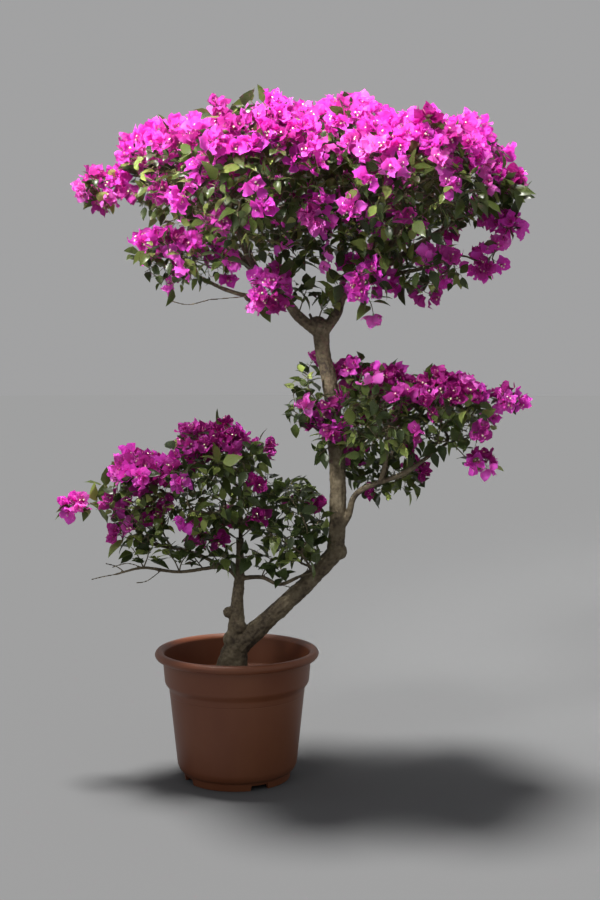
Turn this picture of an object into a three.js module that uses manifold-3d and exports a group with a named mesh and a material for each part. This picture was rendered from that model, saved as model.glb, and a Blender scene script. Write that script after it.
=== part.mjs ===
// A bougainvillea trained like a small tree, standing in its round plastic pot.
// Millimetres, +Z up. +X is to the right in the front view and the front faces -Y.
// The origin is the middle of the pot's underside, on the level that the pot stands on.
import * as THREE from 'three';
import { mergeVertices } from 'three/addons/utils/BufferGeometryUtils.js';
import Module from 'manifold-3d';

const wasm = await Module();
wasm.setup();

const UP = new THREE.Vector3(0, 0, 1);

// Clear distance between pieces that touch on the real plant.
const GAP = 0.3;

// Pot: heights above the ground and outer radii.
const POT = {
  sides: 32,
  height: 316,
  wall: 4,
  footRadius: 129,
  footTopRadius: 132,
  footHeight: 22,
  footWall: 7,
  hubRadius: 26,
  floorUnderside: 12,
  floorTop: 17,
  cornerRadius: 142,
  cornerHeight: 27,
  innerCornerRadius: 134,
  baseRadius: 146,
  baseHeight: 34,
  bodyTopRadius: 166,
  bodyTop: 224,
  bandRadius: 176,
  bandBottom: 238,
  innerBandBottom: 241,
  bandTopRadius: 181,
  lipBottom: 295,
  lipUnderRadius: 195,
  lipUnderHeight: 298,
  lipRadius: 200,
  lipWidest: 306,
  lipShoulderRadius: 197,
  lipShoulder: 312,
  lipFlat: 190,
  innerLip: 310,
};
const FOOT_NOTCHES = { count: 4, firstAngle: -63, width: 40, depth: 40, height: 10 };
const DRAIN_HOLES = { count: 4, circleRadius: 78, radius: 7, sides: 10 };
const SOIL_TOP = 205;
const SOIL_CLEAR = 0.5;

// Trunk and stems: stations are x, y, z and radius at points along the axis.
const TRUNK_FLARE = { lobes: 3, depth: 0.14, fadeHeight: 110, turn: 0.6 };
const ELBOW_KNOB = { centre: [250, -2, 556], radius: 19 };
const STEM_KNOB = { centre: [-22, -3, 406], radius: 13 };
const LIMB_STEP = 60;
const BOUGH_SIDES = 6;
const BOUGH_SEGMENTS = 3;
const CURVE_TENSION = 0.5;

const STATION_LIMBS = [
  {
    name: 'trunk_lower',
    sides: 10,
    stations: [
      [-16, 0, 190, 54],
      [-13, 0, 250, 41],
      [-4, 0, 312, 30],
      [24, 0, 343, 24],
      [97, 2, 407, 20],
      [194, 2, 501, 19],
      [238, 0, 552, 20],
    ],
  },
  {
    name: 'trunk_upper',
    parent: 'trunk_lower',
    sides: 10,
    stations: [
      [241, 0, 545, 20],
      [246, 2, 660, 19],
      [243, 4, 785, 18.5],
      [230, 2, 940, 17.5],
      [208, 0, 1045, 17],
      [205, 0, 1097, 19],
    ],
  },
  {
    name: 'stem_left',
    parent: 'trunk_lower',
    sides: 10,
    stations: [
      [-9, 0, 315, 20],
      [-1, 0, 372, 19],
      [1, 0, 430, 15],
      [7, 0, 500, 11],
      [8, 0, 590, 8.5],
    ],
  },
  {
    name: 'bough_crown_left',
    parent: 'trunk_upper',
    sides: 8,
    stations: [
      [205, 0, 1080, 13],
      [149, 3, 1127, 12],
      [116, 6, 1169, 10.5],
      [28, 0, 1250, 8],
      [-60, -10, 1335, 6],
    ],
  },
  {
    name: 'bough_crown_right',
    parent: 'trunk_upper',
    sides: 8,
    stations: [
      [205, 0, 1080, 13],
      [243, -2, 1134, 12],
      [262, -4, 1180, 11],
      [365, -6, 1250, 8],
      [490, -8, 1330, 6],
    ],
  },
  {
    name: 'bough_middle_outer',
    parent: 'trunk_upper',
    sides: 6,
    stations: [
      [244, 0, 598, 8],
      [270, -8, 642, 8],
      [296, -12, 703, 7],
      [403, -16, 748, 6],
      [480, -10, 800, 4.5],
    ],
  },
  {
    name: 'bough_low_bare',
    parent: 'stem_left',
    sides: 6,
    stations: [
      [6, 0, 488, 6],
      [-35, -12, 519, 5],
      [-138, -20, 509, 4],
      [-225, -22, 519, 3.5],
      [-292, -20, 503, 2.5],
    ],
  },
  {
    name: 'bough_low_right',
    parent: 'stem_left',
    sides: 6,
    stations: [
      [7, 0, 490, 6],
      [61, -22, 496, 5],
      [105, -34, 481, 4.5],
      [150, -44, 500, 4],
    ],
  },
];

// Boughs that leave another limb: where along it, heading and climb in degrees, and length.
const GROWN_LIMBS = [
  {
    name: 'bough_crown_front_left', parent: 'bough_crown_left', at: 0.48,
    heading: -122, climb: 32, tipClimb: 62, length: 205, radii: [8.5, 5],
  },
  {
    name: 'bough_crown_back_left', parent: 'bough_crown_left', at: 0.56,
    heading: 118, climb: 32, tipClimb: 62, length: 205, radii: [8.5, 5],
  },
  {
    name: 'bough_crown_low_left', parent: 'bough_crown_left', at: 0.4,
    heading: -172, climb: 2, tipClimb: 26, length: 215, radii: [6, 4],
  },
  {
    name: 'bough_crown_front_right', parent: 'bough_crown_right', at: 0.52,
    heading: -62, climb: 32, tipClimb: 64, length: 205, radii: [8.5, 5],
  },
  {
    name: 'bough_crown_back_right', parent: 'bough_crown_right', at: 0.6,
    heading: 66, climb: 32, tipClimb: 64, length: 200, radii: [8.5, 5],
  },
  {
    name: 'bough_crown_centre', parent: 'bough_crown_right', at: 0.45,
    heading: 165, climb: 70, tipClimb: 86, length: 235, radii: [8.5, 5],
  },
  {
    name: 'bough_crown_low_right', parent: 'bough_crown_right', at: 0.5,
    heading: -14, climb: 2, tipClimb: 18, length: 180, radii: [6, 4],
  },
  {
    name: 'bough_middle_inner', parent: 'bough_middle_outer', at: 0.5,
    heading: -60, climb: 62, tipClimb: 80, length: 110, radii: [6, 4.5],
  },
  {
    name: 'bough_middle_back', parent: 'bough_middle_outer', at: 0.56,
    heading: 62, climb: 34, tipClimb: 58, length: 120, radii: [5.5, 4],
  },
  {
    name: 'bough_low_left', parent: 'bough_low_bare', at: 0.2,
    heading: -176, climb: 30, tipClimb: 12, length: 150, radii: [4.6, 4],
  },
];

// Masses of foliage. Each keeps to a space of its own, made of rounded lobes. It grows from one
// stem on the tip of its bough, or on the trunk. grain scales its sprays and the distance between
// them. bloom is the share in flower at the foot and the top of the mass. A lobe has a centre and
// radii, and may have a share in flower of its own.
const MASSES = [
  {
    name: 'foliage_crown_left', bough: 'bough_crown_left', seed: 11, grain: 1, bloom: [0.7, 1],
    lobes: [
      [[-85, -20, 1450], [185, 195, 155]],
      [[-236, -14, 1510], [64, 66, 60], 1],
      [[-322, -10, 1430], [74, 74, 66], 1],
    ],
  },
  {
    name: 'foliage_crown_front_left', bough: 'bough_crown_front_left', seed: 23, grain: 1,
    bloom: [0.5, 1],
    lobes: [
      [[55, -215, 1432], [200, 180, 182]],
      [[88, -118, 1188], [66, 72, 70], 0.9],
      [[160, -120, 1300], [105, 110, 92], 0.25],
    ],
  },
  {
    name: 'foliage_crown_back_left', bough: 'bough_crown_back_left', seed: 37, grain: 1.15,
    bloom: [0.35, 1],
    lobes: [[[55, 215, 1430], [200, 180, 178]]],
  },
  {
    name: 'foliage_crown_low_left', bough: 'bough_crown_low_left', seed: 41, grain: 0.85,
    bloom: [0.6, 0.95],
    lobes: [[[-120, -40, 1258], [140, 140, 85]]],
  },
  {
    name: 'foliage_crown_centre', bough: 'bough_crown_centre', seed: 53, grain: 1,
    bloom: [0.6, 1],
    lobes: [[[262, 0, 1502], [185, 180, 152]]],
  },
  {
    name: 'foliage_crown_front_right', bough: 'bough_crown_front_right', seed: 61, grain: 1,
    bloom: [0.25, 1],
    lobes: [
      [[392, -215, 1426], [195, 180, 156]],
      [[302, -120, 1208], [82, 80, 78], 0.85],
      [[318, -120, 1300], [105, 110, 92], 0.2],
    ],
  },
  {
    name: 'foliage_crown_back_right', bough: 'bough_crown_back_right', seed: 71, grain: 1.15,
    bloom: [0.35, 1],
    lobes: [[[392, 215, 1435], [200, 180, 172]]],
  },
  {
    name: 'foliage_crown_low_right', bough: 'bough_crown_low_right', seed: 83, grain: 0.85,
    bloom: [0.6, 0.7],
    lobes: [
      [[452, -60, 1228], [108, 110, 78]],
      [[598, -45, 1252], [62, 66, 62], 0.9],
      [[652, -45, 1335], [52, 56, 54], 1],
    ],
  },
  {
    name: 'foliage_crown_right', bough: 'bough_crown_right', seed: 97, grain: 1,
    bloom: [0.4, 1],
    lobes: [[[536, -10, 1458], [130, 182, 142]], [[634, -10, 1422], [72, 125, 64]]],
  },
  {
    name: 'foliage_middle_inner', bough: 'bough_middle_inner', seed: 101, grain: 0.75,
    bloom: [0.1, 1],
    lobes: [[[338, -60, 880], [118, 125, 122]], [[292, 62, 985], [78, 70, 62], 1]],
  },
  {
    name: 'foliage_middle_outer', bough: 'bough_middle_outer', seed: 113, grain: 0.75,
    bloom: [0.1, 1],
    lobes: [
      [[510, -10, 895], [125, 160, 112]],
      [[658, -10, 925], [58, 56, 48], 1],
      [[596, -25, 775], [56, 52, 46], 0.9],
    ],
  },
  {
    name: 'foliage_middle_back', bough: 'bough_middle_back', seed: 127, grain: 0.8,
    bloom: [0, 0.9],
    lobes: [[[360, 100, 880], [140, 120, 130]], [[370, 75, 745], [125, 95, 85], 0.15]],
  },
  {
    name: 'foliage_middle_left', trunkHeight: 850, heading: -165, seed: 131, grain: 0.7,
    bloom: [0.2, 0.7],
    lobes: [[[160, -25, 915], [62, 80, 92]], [[184, 45, 1012], [38, 42, 50], 1]],
  },
  {
    name: 'foliage_low_left', bough: 'bough_low_left', seed: 139, grain: 0.8, bloom: [0.5, 1],
    lobes: [
      [[-222, -20, 688], [112, 155, 132]],
      [[-338, -14, 676], [60, 34, 32], 0],
      [[-392, -10, 668], [50, 48, 44], 1],
    ],
  },
  {
    name: 'foliage_low_centre', bough: 'stem_left', seed: 149, grain: 0.8, bloom: [0, 1],
    lobes: [[[-55, 0, 725], [165, 175, 158]]],
  },
  {
    name: 'foliage_low_right', bough: 'bough_low_right', seed: 151, grain: 0.8,
    bloom: [0, 0.25],
    lobes: [[[135, -30, 635], [108, 145, 122]]],
  },
];

// A spray stands for a cluster of real blooms or leaves at the end of a twig: it has three
// bracts or three leaves of eight faces, which lean out from the twig by the tilt.
const BLOOM_SPRAY = { tilt: 60, length: 90, width: 92, thickness: 7, seat: 5, heart: 16 };
const LEAF_SPRAY = { tilt: 66, length: 92, width: 64, thickness: 6, seat: 4, heart: 9 };
const SPRAY_PIECES = 3;
const SPRAY_TRIES = 10;
const SPRAY_TURN = 0.7;
const SPRAY_SHRINK = 0.05;
const SPRAY_REACH = 40;

// Candidate places: shells of a lobe as shares of its size, one place to this many square mm,
// and the least distance between two sprays.
const SHELLS = [1, 0.5];
const PLACE_AREA = 2600;
const SPRAY_SPACING = 104;
const TIP_SPACING = 0.75;
const LEAST_REACH = 4;
const TURN_STRAY = 0.5;
const LIFT = 0.15;

// Shares of a mass's height between which it goes from the bloom of its foot to that of its top.
const BLOOM_RISE = [0.25, 0.8];

// Joining a spray to a knot: knots tried, and what a turn and the way from the root add.
const JOIN_TRIES = 12;
const TURN_COST = 0.3;
const WAY_COST = 0.3;

const TWIG = { tipRadius: 1.7, power: 0.42, limbClear: 2.5, bend: 0.16, probes: 6 };
const STEM = { length: 36, overlap: 6, sides: 6 };
const TRUNK_STEM = { climb: 20, depth: 0.8, radius: 4 };
const SPACE_MARGIN = 0.04;
const SPACE_EDGE = 1.14;

// How far a fused surface may move when its smallest faces are merged, how near two points of
// a primitive are the same point, and how small the cross product of parallel directions is.
const SMOOTHING = 0.3;
const SAME_POINT = 1e-3;
const PARALLEL = 0.01;

const FINISHES = {
  pot: { color: '#5a3322', roughness: 0.45 },
  soil: { color: '#2b2018', roughness: 0.95 },
  bark: { color: '#5b5143', roughness: 0.85 },
  foliage: { color: '#b32a93', roughness: 0.6 },
};

// Numbers from 0 to 1 that repeat for the same seed.
function seededNumbers(seed) {
  let state = seed;
  return () => {
    state = (state * 1664525 + 1013904223) % 4294967296;
    return state / 4294967296;
  };
}

function vector(values) {
  return new THREE.Vector3(values[0], values[1], values[2]);
}

function headingDirection(heading, climb) {
  const turn = THREE.MathUtils.degToRad(heading);
  const rise = THREE.MathUtils.degToRad(climb);
  return new THREE.Vector3(
    Math.cos(rise) * Math.cos(turn),
    Math.cos(rise) * Math.sin(turn),
    Math.sin(rise),
  );
}

// A closed solid from points and triangles, with its faces turned outwards.
function solidOf(points, triangles) {
  let volume = 0;
  for (let i = 0; i < triangles.length; i += 3) {
    const [a, b, c] = [triangles[i], triangles[i + 1], triangles[i + 2]].map((k) => points[k]);
    volume += a.dot(new THREE.Vector3().crossVectors(b, c));
  }
  const faces = volume > 0 ? triangles : [...triangles].reverse();
  const solid = new wasm.Mesh({
    numProp: 3,
    vertProperties: new Float32Array(points.flatMap((p) => [p.x, p.y, p.z])),
    triVerts: new Uint32Array(faces),
  });
  return new wasm.Manifold(solid);
}

// The solid of a closed three.js geometry.
function solidOfGeometry(geometry) {
  const bare = geometry.index ? geometry.toNonIndexed() : geometry.clone();
  bare.deleteAttribute('normal');
  bare.deleteAttribute('uv');
  const merged = mergeVertices(bare, SAME_POINT);
  const position = merged.getAttribute('position');
  const points = [];
  for (let i = 0; i < position.count; i += 1) {
    points.push(new THREE.Vector3().fromBufferAttribute(position, i));
  }
  const triangles = [];
  for (let i = 0; i < merged.index.count; i += 3) {
    const [a, b, c] = [0, 1, 2].map((k) => merged.index.getX(i + k));
    if (a !== b && b !== c && c !== a) triangles.push(a, b, c);
  }
  return solidOf(points, triangles);
}

function geometryOfSolid(solid) {
  const mesh = solid.getMesh();
  const geometry = new THREE.BufferGeometry();
  const positions = new Float32Array(mesh.numVert * 3);
  for (let i = 0; i < mesh.numVert; i += 1) {
    for (let k = 0; k < 3; k += 1) {
      positions[i * 3 + k] = mesh.vertProperties[i * mesh.numProp + k];
    }
  }
  geometry.setAttribute('position', new THREE.BufferAttribute(positions, 3));
  geometry.setIndex(new THREE.BufferAttribute(new Uint32Array(mesh.triVerts), 1));
  geometry.computeVertexNormals();
  return geometry;
}

// The largest single body of a solid: scraps and sealed hollows are left behind.
function largestBody(solid) {
  const bodies = solid.decompose();
  return bodies.reduce((best, body) => (body.volume() > best.volume() ? body : best));
}

function lathe(profile, sides) {
  const points = profile.map(([radius, height]) => new THREE.Vector2(radius, height));
  const geometry = new THREE.LatheGeometry(points, sides);
  geometry.rotateX(Math.PI / 2);
  return geometry;
}

// Samples along a limb's axis: point, radius and direction.
function limbSamples(stations) {
  const curve = new THREE.CatmullRomCurve3(stations.map(vector), false, 'catmullrom', CURVE_TENSION);
  const samples = [];
  for (let i = 0; i < stations.length - 1; i += 1) {
    const length = vector(stations[i]).distanceTo(vector(stations[i + 1]));
    const steps = Math.ceil(length / LIMB_STEP);
    const last = i === stations.length - 2 ? steps : steps - 1;
    for (let j = 0; j <= last; j += 1) {
      const t = (i + j / steps) / (stations.length - 1);
      const radius = THREE.MathUtils.lerp(stations[i][3], stations[i + 1][3], j / steps);
      samples.push({ point: curve.getPoint(t), radius, direction: curve.getTangent(t) });
    }
  }
  return samples;
}

// A closed tube through the samples. margin widens it and lengthens it at both ends.
function tubeSolid(samples, sides, margin = 0, relief = () => 1) {
  const first = samples[0].direction;
  const side = new THREE.Vector3().crossVectors(first, new THREE.Vector3(0, 1, 0));
  if (side.lengthSq() < PARALLEL) side.set(1, 0, 0);
  side.normalize();
  const points = [];
  samples.forEach((sample, i) => {
    side.addScaledVector(sample.direction, -side.dot(sample.direction)).normalize();
    const other = new THREE.Vector3().crossVectors(sample.direction, side);
    const centre = sample.point.clone();
    if (i === 0) centre.addScaledVector(sample.direction, -margin);
    if (i === samples.length - 1) centre.addScaledVector(sample.direction, margin);
    for (let k = 0; k < sides; k += 1) {
      const angle = (k / sides) * Math.PI * 2;
      const radius = sample.radius * relief(angle, sample.point.z) + margin;
      const point = centre.clone();
      point.addScaledVector(side, Math.cos(angle) * radius);
      point.addScaledVector(other, Math.sin(angle) * radius);
      points.push(point);
    }
  });
  const triangles = [];
  for (let i = 0; i < samples.length - 1; i += 1) {
    for (let k = 0; k < sides; k += 1) {
      const a = i * sides + k;
      const b = i * sides + ((k + 1) % sides);
      triangles.push(a, b, b + sides, a, b + sides, a + sides);
    }
  }
  const end = (samples.length - 1) * sides;
  for (let k = 1; k < sides - 1; k += 1) {
    triangles.push(0, k + 1, k);
    triangles.push(end, end + k, end + k + 1);
  }
  return solidOf(points, triangles);
}

// The stations of a bough that leaves its parent at a share of the parent's samples.
function branchStations(parent, row) {
  const start = parent.samples[Math.round(row.at * (parent.samples.length - 1))].point;
  const point = start.clone();
  const stations = [[point.x, point.y, point.z, row.radii[0]]];
  for (let i = 0; i < BOUGH_SEGMENTS; i += 1) {
    const climb = THREE.MathUtils.lerp(row.climb, row.tipClimb, i / (BOUGH_SEGMENTS - 1));
    point.addScaledVector(headingDirection(row.heading, climb), row.length / BOUGH_SEGMENTS);
    const radius = THREE.MathUtils.lerp(row.radii[0], row.radii[1], (i + 1) / BOUGH_SEGMENTS);
    stations.push([point.x, point.y, point.z, radius]);
  }
  return stations;
}

function potSolid() {
  const p = POT;
  const profile = [
    [0, 0],
    [p.hubRadius, 0],
    [p.hubRadius, p.floorUnderside],
    [p.footRadius - p.footWall, p.floorUnderside],
    [p.footRadius - p.footWall, 0],
    [p.footRadius, 0],
    [p.footTopRadius, p.footHeight],
    [p.cornerRadius, p.cornerHeight],
    [p.baseRadius, p.baseHeight],
    [p.bodyTopRadius, p.bodyTop],
    [p.bandRadius, p.bandBottom],
    [p.bandTopRadius, p.lipBottom],
    [p.lipUnderRadius, p.lipUnderHeight],
    [p.lipRadius, p.lipWidest],
    [p.lipShoulderRadius, p.lipShoulder],
    [p.lipFlat, p.height],
    [p.bandTopRadius - p.wall, p.innerLip],
    [p.bandRadius - p.wall, p.innerBandBottom],
    [p.bodyTopRadius - p.wall, p.bodyTop],
    [p.baseRadius - p.wall, p.baseHeight],
    [p.innerCornerRadius, p.floorTop],
    [0, p.floorTop],
  ];
  let solid = solidOfGeometry(lathe(profile, p.sides));
  for (let i = 0; i < FOOT_NOTCHES.count; i += 1) {
    const angle = FOOT_NOTCHES.firstAngle + (360 * i) / FOOT_NOTCHES.count;
    const notch = new THREE.BoxGeometry(
      FOOT_NOTCHES.depth,
      FOOT_NOTCHES.width,
      FOOT_NOTCHES.height * 2,
    );
    notch.translate(p.footRadius, 0, 0);
    notch.rotateZ(THREE.MathUtils.degToRad(angle));
    solid = solid.subtract(solidOfGeometry(notch));
  }
  for (let i = 0; i < DRAIN_HOLES.count; i += 1) {
    const angle = (Math.PI * 2 * i) / DRAIN_HOLES.count;
    const drain = new THREE.CylinderGeometry(
      DRAIN_HOLES.radius,
      DRAIN_HOLES.radius,
      p.floorTop * 2,
      DRAIN_HOLES.sides,
    );
    drain.rotateX(Math.PI / 2);
    drain.translate(
      Math.cos(angle) * DRAIN_HOLES.circleRadius,
      Math.sin(angle) * DRAIN_HOLES.circleRadius,
      p.floorTop,
    );
    solid = solid.subtract(solidOfGeometry(drain));
  }
  return solid;
}

function soilGeometry() {
  const p = POT;
  const share = (SOIL_TOP - p.baseHeight) / (p.bodyTop - p.baseHeight);
  const topRadius = THREE.MathUtils.lerp(p.baseRadius, p.bodyTopRadius, share);
  const inset = p.wall + SOIL_CLEAR;
  const profile = [
    [0, p.floorTop + GAP],
    [p.innerCornerRadius - SOIL_CLEAR, p.floorTop + GAP],
    [p.baseRadius - inset, p.baseHeight],
    [topRadius - inset, SOIL_TOP],
    [0, SOIL_TOP],
  ];
  return lathe(profile, p.sides);
}

// The trunk's foot widens into a few rounded buttresses.
function flareRelief(angle, height) {
  const fade = Math.max(0, 1 - (height - SOIL_TOP) / TRUNK_FLARE.fadeHeight);
  return 1 + TRUNK_FLARE.depth * fade * Math.cos(TRUNK_FLARE.lobes * angle + TRUNK_FLARE.turn);
}

function knobSolid(knob) {
  const ball = new THREE.IcosahedronGeometry(knob.radius, 1);
  ball.translate(...knob.centre);
  return solidOfGeometry(ball);
}

function groundCut() {
  const size = POT.lipRadius * 2;
  const slab = new THREE.BoxGeometry(size, size, size);
  slab.translate(0, 0, SOIL_TOP + GAP - size / 2);
  return solidOfGeometry(slab);
}

// Every limb, in order from the ground up. Each is cut clear of the limbs made before it.
function makeLimbs() {
  const limbs = new Map();
  for (const row of [...STATION_LIMBS, ...GROWN_LIMBS]) {
    const parent = limbs.get(row.parent);
    const sides = row.sides ?? BOUGH_SIDES;
    const samples = limbSamples(row.stations ?? branchStations(parent, row));
    const relief = row.name === 'trunk_lower' ? flareRelief : () => 1;
    let solid = tubeSolid(samples, sides, 0, relief);
    let grown = tubeSolid(samples, sides, GAP, relief);
    if (row.name === 'trunk_lower') {
      solid = solid.add(knobSolid(ELBOW_KNOB)).subtract(groundCut());
      grown = grown.add(knobSolid({ ...ELBOW_KNOB, radius: ELBOW_KNOB.radius + GAP }));
    }
    if (row.name === 'stem_left') {
      solid = solid.add(knobSolid(STEM_KNOB));
      grown = grown.add(knobSolid({ ...STEM_KNOB, radius: STEM_KNOB.radius + GAP }));
    }
    for (const other of limbs.values()) solid = solid.subtract(other.grown);
    solid = largestBody(solid);
    limbs.set(row.name, { ...row, samples, solid, grown });
  }
  return limbs;
}

// How far out a point lies in a mass's space: 0 at a lobe's centre and 1 on its surface.
function spaceDepth(mass, point) {
  let least = Infinity;
  for (const [centre, radii] of mass.lobes) {
    const x = (point.x - centre[0]) / radii[0];
    const y = (point.y - centre[1]) / radii[1];
    const z = (point.z - centre[2]) / radii[2];
    least = Math.min(least, Math.sqrt(x * x + y * y + z * z));
  }
  return least;
}

function inOwnSpace(mass, point) {
  const depth = spaceDepth(mass, point);
  if (depth > SPACE_EDGE) return false;
  return MASSES.every((other) => other === mass || spaceDepth(other, point) > depth + SPACE_MARGIN);
}

function clearOfLimbs(limbs, point, clearance) {
  for (const limb of limbs.values()) {
    for (let i = 0; i < limb.samples.length - 1; i += 1) {
      const a = limb.samples[i];
      const b = limb.samples[i + 1];
      const along = new THREE.Vector3().subVectors(b.point, a.point);
      const share = new THREE.Vector3().subVectors(point, a.point).dot(along) / along.lengthSq();
      const near = a.point.clone().addScaledVector(along, THREE.MathUtils.clamp(share, 0, 1));
      if (near.distanceTo(point) < Math.max(a.radius, b.radius) + clearance) return false;
    }
  }
  return true;
}

// Places for sprays, spread evenly over an outer and an inner shell of each lobe.
function sprayTargets(mass, random) {
  const goldenAngle = Math.PI * (3 - Math.sqrt(5));
  const targets = [];
  mass.lobes.forEach(([centre, radii, bloom]) => {
    const spacing = Math.min(SPRAY_SPACING * mass.grain, Math.min(...radii) * TIP_SPACING);
    for (const shell of SHELLS) {
      const reaches = radii.map((radius) => (
        Math.max((radius - SPRAY_REACH * mass.grain) * shell, LEAST_REACH)
      ));
      const area = reaches[0] * reaches[1] + reaches[1] * reaches[2] + reaches[2] * reaches[0];
      const count = Math.max(2, Math.round((4 * Math.PI * area) / 3 / PLACE_AREA));
      for (let k = 0; k < count; k += 1) {
        const height = 1 - (2 * (k + 0.5)) / count;
        const ring = Math.sqrt(1 - height * height);
        const turn = k * goldenAngle + random() * TURN_STRAY;
        const outward = new THREE.Vector3(Math.cos(turn) * ring, Math.sin(turn) * ring, height);
        const point = vector(centre);
        ['x', 'y', 'z'].forEach((axis, i) => {
          point[axis] += outward[axis] * reaches[i];
        });
        targets.push({ point, outward, spacing, bloom });
      }
    }
  });
  return targets;
}

// The rim of a spray: three leaves or bracts about its heart, each with a valley before it,
// a side, a tip and a side. frame holds the spray's direction and the two vectors across it.
function sprayRim(point, frame, roll, size, scale) {
  const tilt = THREE.MathUtils.degToRad(size.tilt);
  const middle = size.length * scale * 0.5;
  const halfWidth = (size.width * scale) / 2;
  const spread = Math.atan2(halfWidth, middle * Math.sin(tilt));
  const broad = Math.hypot(middle * Math.sin(tilt), halfWidth);
  const rise = middle * Math.cos(tilt);
  const rim = [];
  for (let i = 0; i < SPRAY_PIECES; i += 1) {
    const angle = roll + (Math.PI * 2 * i) / SPRAY_PIECES;
    rim.push(aroundAxis(point, frame, angle - Math.PI / SPRAY_PIECES, size.heart, 0));
    rim.push(aroundAxis(point, frame, angle - spread, broad, rise));
    rim.push(aroundAxis(point, frame, angle, middle * 2 * Math.sin(tilt), rise * 2));
    rim.push(aroundAxis(point, frame, angle + spread, broad, rise));
  }
  return rim;
}

function frameAcross(direction) {
  const side = new THREE.Vector3().crossVectors(direction, UP);
  if (side.lengthSq() < PARALLEL) side.set(1, 0, 0);
  side.normalize();
  return { direction, side, other: new THREE.Vector3().crossVectors(direction, side) };
}

function aroundAxis(point, frame, angle, out, rise) {
  const p = point.clone().addScaledVector(frame.direction, rise);
  p.addScaledVector(frame.side, Math.cos(angle) * out);
  return p.addScaledVector(frame.other, Math.sin(angle) * out);
}

// The frame of a ring further down the twig, turned as little as can be.
function carriedFrame(frame, direction) {
  const side = frame.side.clone().addScaledVector(direction, -frame.side.dot(direction));
  side.normalize();
  return { direction, side, other: new THREE.Vector3().crossVectors(direction, side) };
}

// A three-sided twig and the spray at its end as one closed solid. The twig's rings run from
// its root to the spray's heart, and their corners line up with the valleys between leaves.
function sprayedTwig(rings, spray) {
  const points = [];
  const triangles = [];
  const rimCount = spray.rim.length;
  const rimStart = rings.length * SPRAY_PIECES;
  const frames = [spray.frame];
  for (let i = rings.length - 2; i >= 0; i -= 1) {
    frames.unshift(carriedFrame(frames[0], rings[i].direction));
  }
  rings.forEach((ring, i) => {
    for (let k = 0; k < SPRAY_PIECES; k += 1) {
      const angle = spray.roll + (Math.PI * (2 * k - 1)) / SPRAY_PIECES;
      points.push(aroundAxis(ring.point, frames[i], angle, ring.radius, 0));
    }
  });
  points.push(...spray.rim);
  const heart = points.length;
  points.push(aroundAxis(spray.point, spray.frame, 0, 0, spray.size.thickness / 2));
  triangles.push(0, 2, 1);
  for (let i = 0; i < rings.length - 1; i += 1) {
    for (let k = 0; k < SPRAY_PIECES; k += 1) {
      const a = i * SPRAY_PIECES + k;
      const b = i * SPRAY_PIECES + ((k + 1) % SPRAY_PIECES);
      triangles.push(a, b, b + SPRAY_PIECES, a, b + SPRAY_PIECES, a + SPRAY_PIECES);
    }
  }
  const end = rimStart - SPRAY_PIECES;
  for (let k = 0; k < SPRAY_PIECES; k += 1) {
    const ringCorner = end + k;
    const nextCorner = end + ((k + 1) % SPRAY_PIECES);
    const [valley, left, tip, right] = [0, 1, 2, 3].map((step) => rimStart + k * 4 + step);
    const nextValley = rimStart + ((k + 1) % SPRAY_PIECES) * 4;
    triangles.push(ringCorner, left, valley, ringCorner, tip, left);
    triangles.push(ringCorner, nextCorner, tip);
    triangles.push(nextCorner, right, tip, nextCorner, nextValley, right);
  }
  for (let i = 0; i < rimCount; i += 1) {
    triangles.push(heart, rimStart + i, rimStart + ((i + 1) % rimCount));
  }
  return solidOf(points, triangles);
}

// Whether a spray keeps to its mass's space and clear of the limbs, at its rim and between.
function rimFits(mass, limbs, rim) {
  const probes = [...rim];
  rim.forEach((corner, i) => probes.push(corner.clone().lerp(rim[(i + 1) % rim.length], 0.5)));
  return probes.every((p) => inOwnSpace(mass, p) && clearOfLimbs(limbs, p, TWIG.limbClear));
}

function twigFits(mass, limbs, from, to) {
  for (let i = 1; i <= TWIG.probes; i += 1) {
    const p = from.clone().lerp(to, i / TWIG.probes);
    if (!inOwnSpace(mass, p)) return false;
    if (!clearOfLimbs(limbs, p, TWIG.tipRadius * 2 + TWIG.limbClear)) return false;
  }
  return true;
}

// Where a mass's stem begins: a point just inside its bough's tip or the trunk, and its heading.
function stemRoot(mass, limbs) {
  if (mass.bough) {
    const { samples } = limbs.get(mass.bough);
    const tip = samples[samples.length - 1];
    return { point: tip.point, direction: tip.direction, radius: tip.radius };
  }
  const trunk = limbs.get('trunk_upper').samples;
  const nearest = trunk.reduce((best, sample) => (
    Math.abs(sample.point.z - mass.trunkHeight) < Math.abs(best.point.z - mass.trunkHeight)
      ? sample : best
  ));
  const direction = headingDirection(mass.heading, TRUNK_STEM.climb);
  const point = nearest.point.clone();
  point.addScaledVector(direction, nearest.radius * TRUNK_STEM.depth);
  return { point, direction, radius: TRUNK_STEM.radius };
}

// The sprays of a mass, outer shell first. One that would leave the mass's space, touch a limb
// or crowd another spray is skipped.
function placeSprays(mass, limbs, random) {
  const targets = sprayTargets(mass, random);
  const heights = targets.map((target) => target.point.z);
  const low = Math.min(...heights);
  const high = Math.max(...heights);
  const sprays = [];
  for (const { point, outward, spacing, bloom } of targets) {
    const share = THREE.MathUtils.smoothstep((point.z - low) / (high - low), ...BLOOM_RISE);
    const inBloom = random() < (bloom ?? THREE.MathUtils.lerp(...mass.bloom, share));
    const roll = random() * Math.PI * 2;
    if (sprays.some((spray) => spray.point.distanceTo(point) < spacing)) continue;
    const frame = frameAcross(outward.clone().addScaledVector(UP, LIFT).normalize());
    const size = inBloom ? BLOOM_SPRAY : LEAF_SPRAY;
    const spray = fitSpray(mass, limbs, point, frame, roll, size);
    if (spray) sprays.push(spray);
  }
  return sprays;
}

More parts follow.
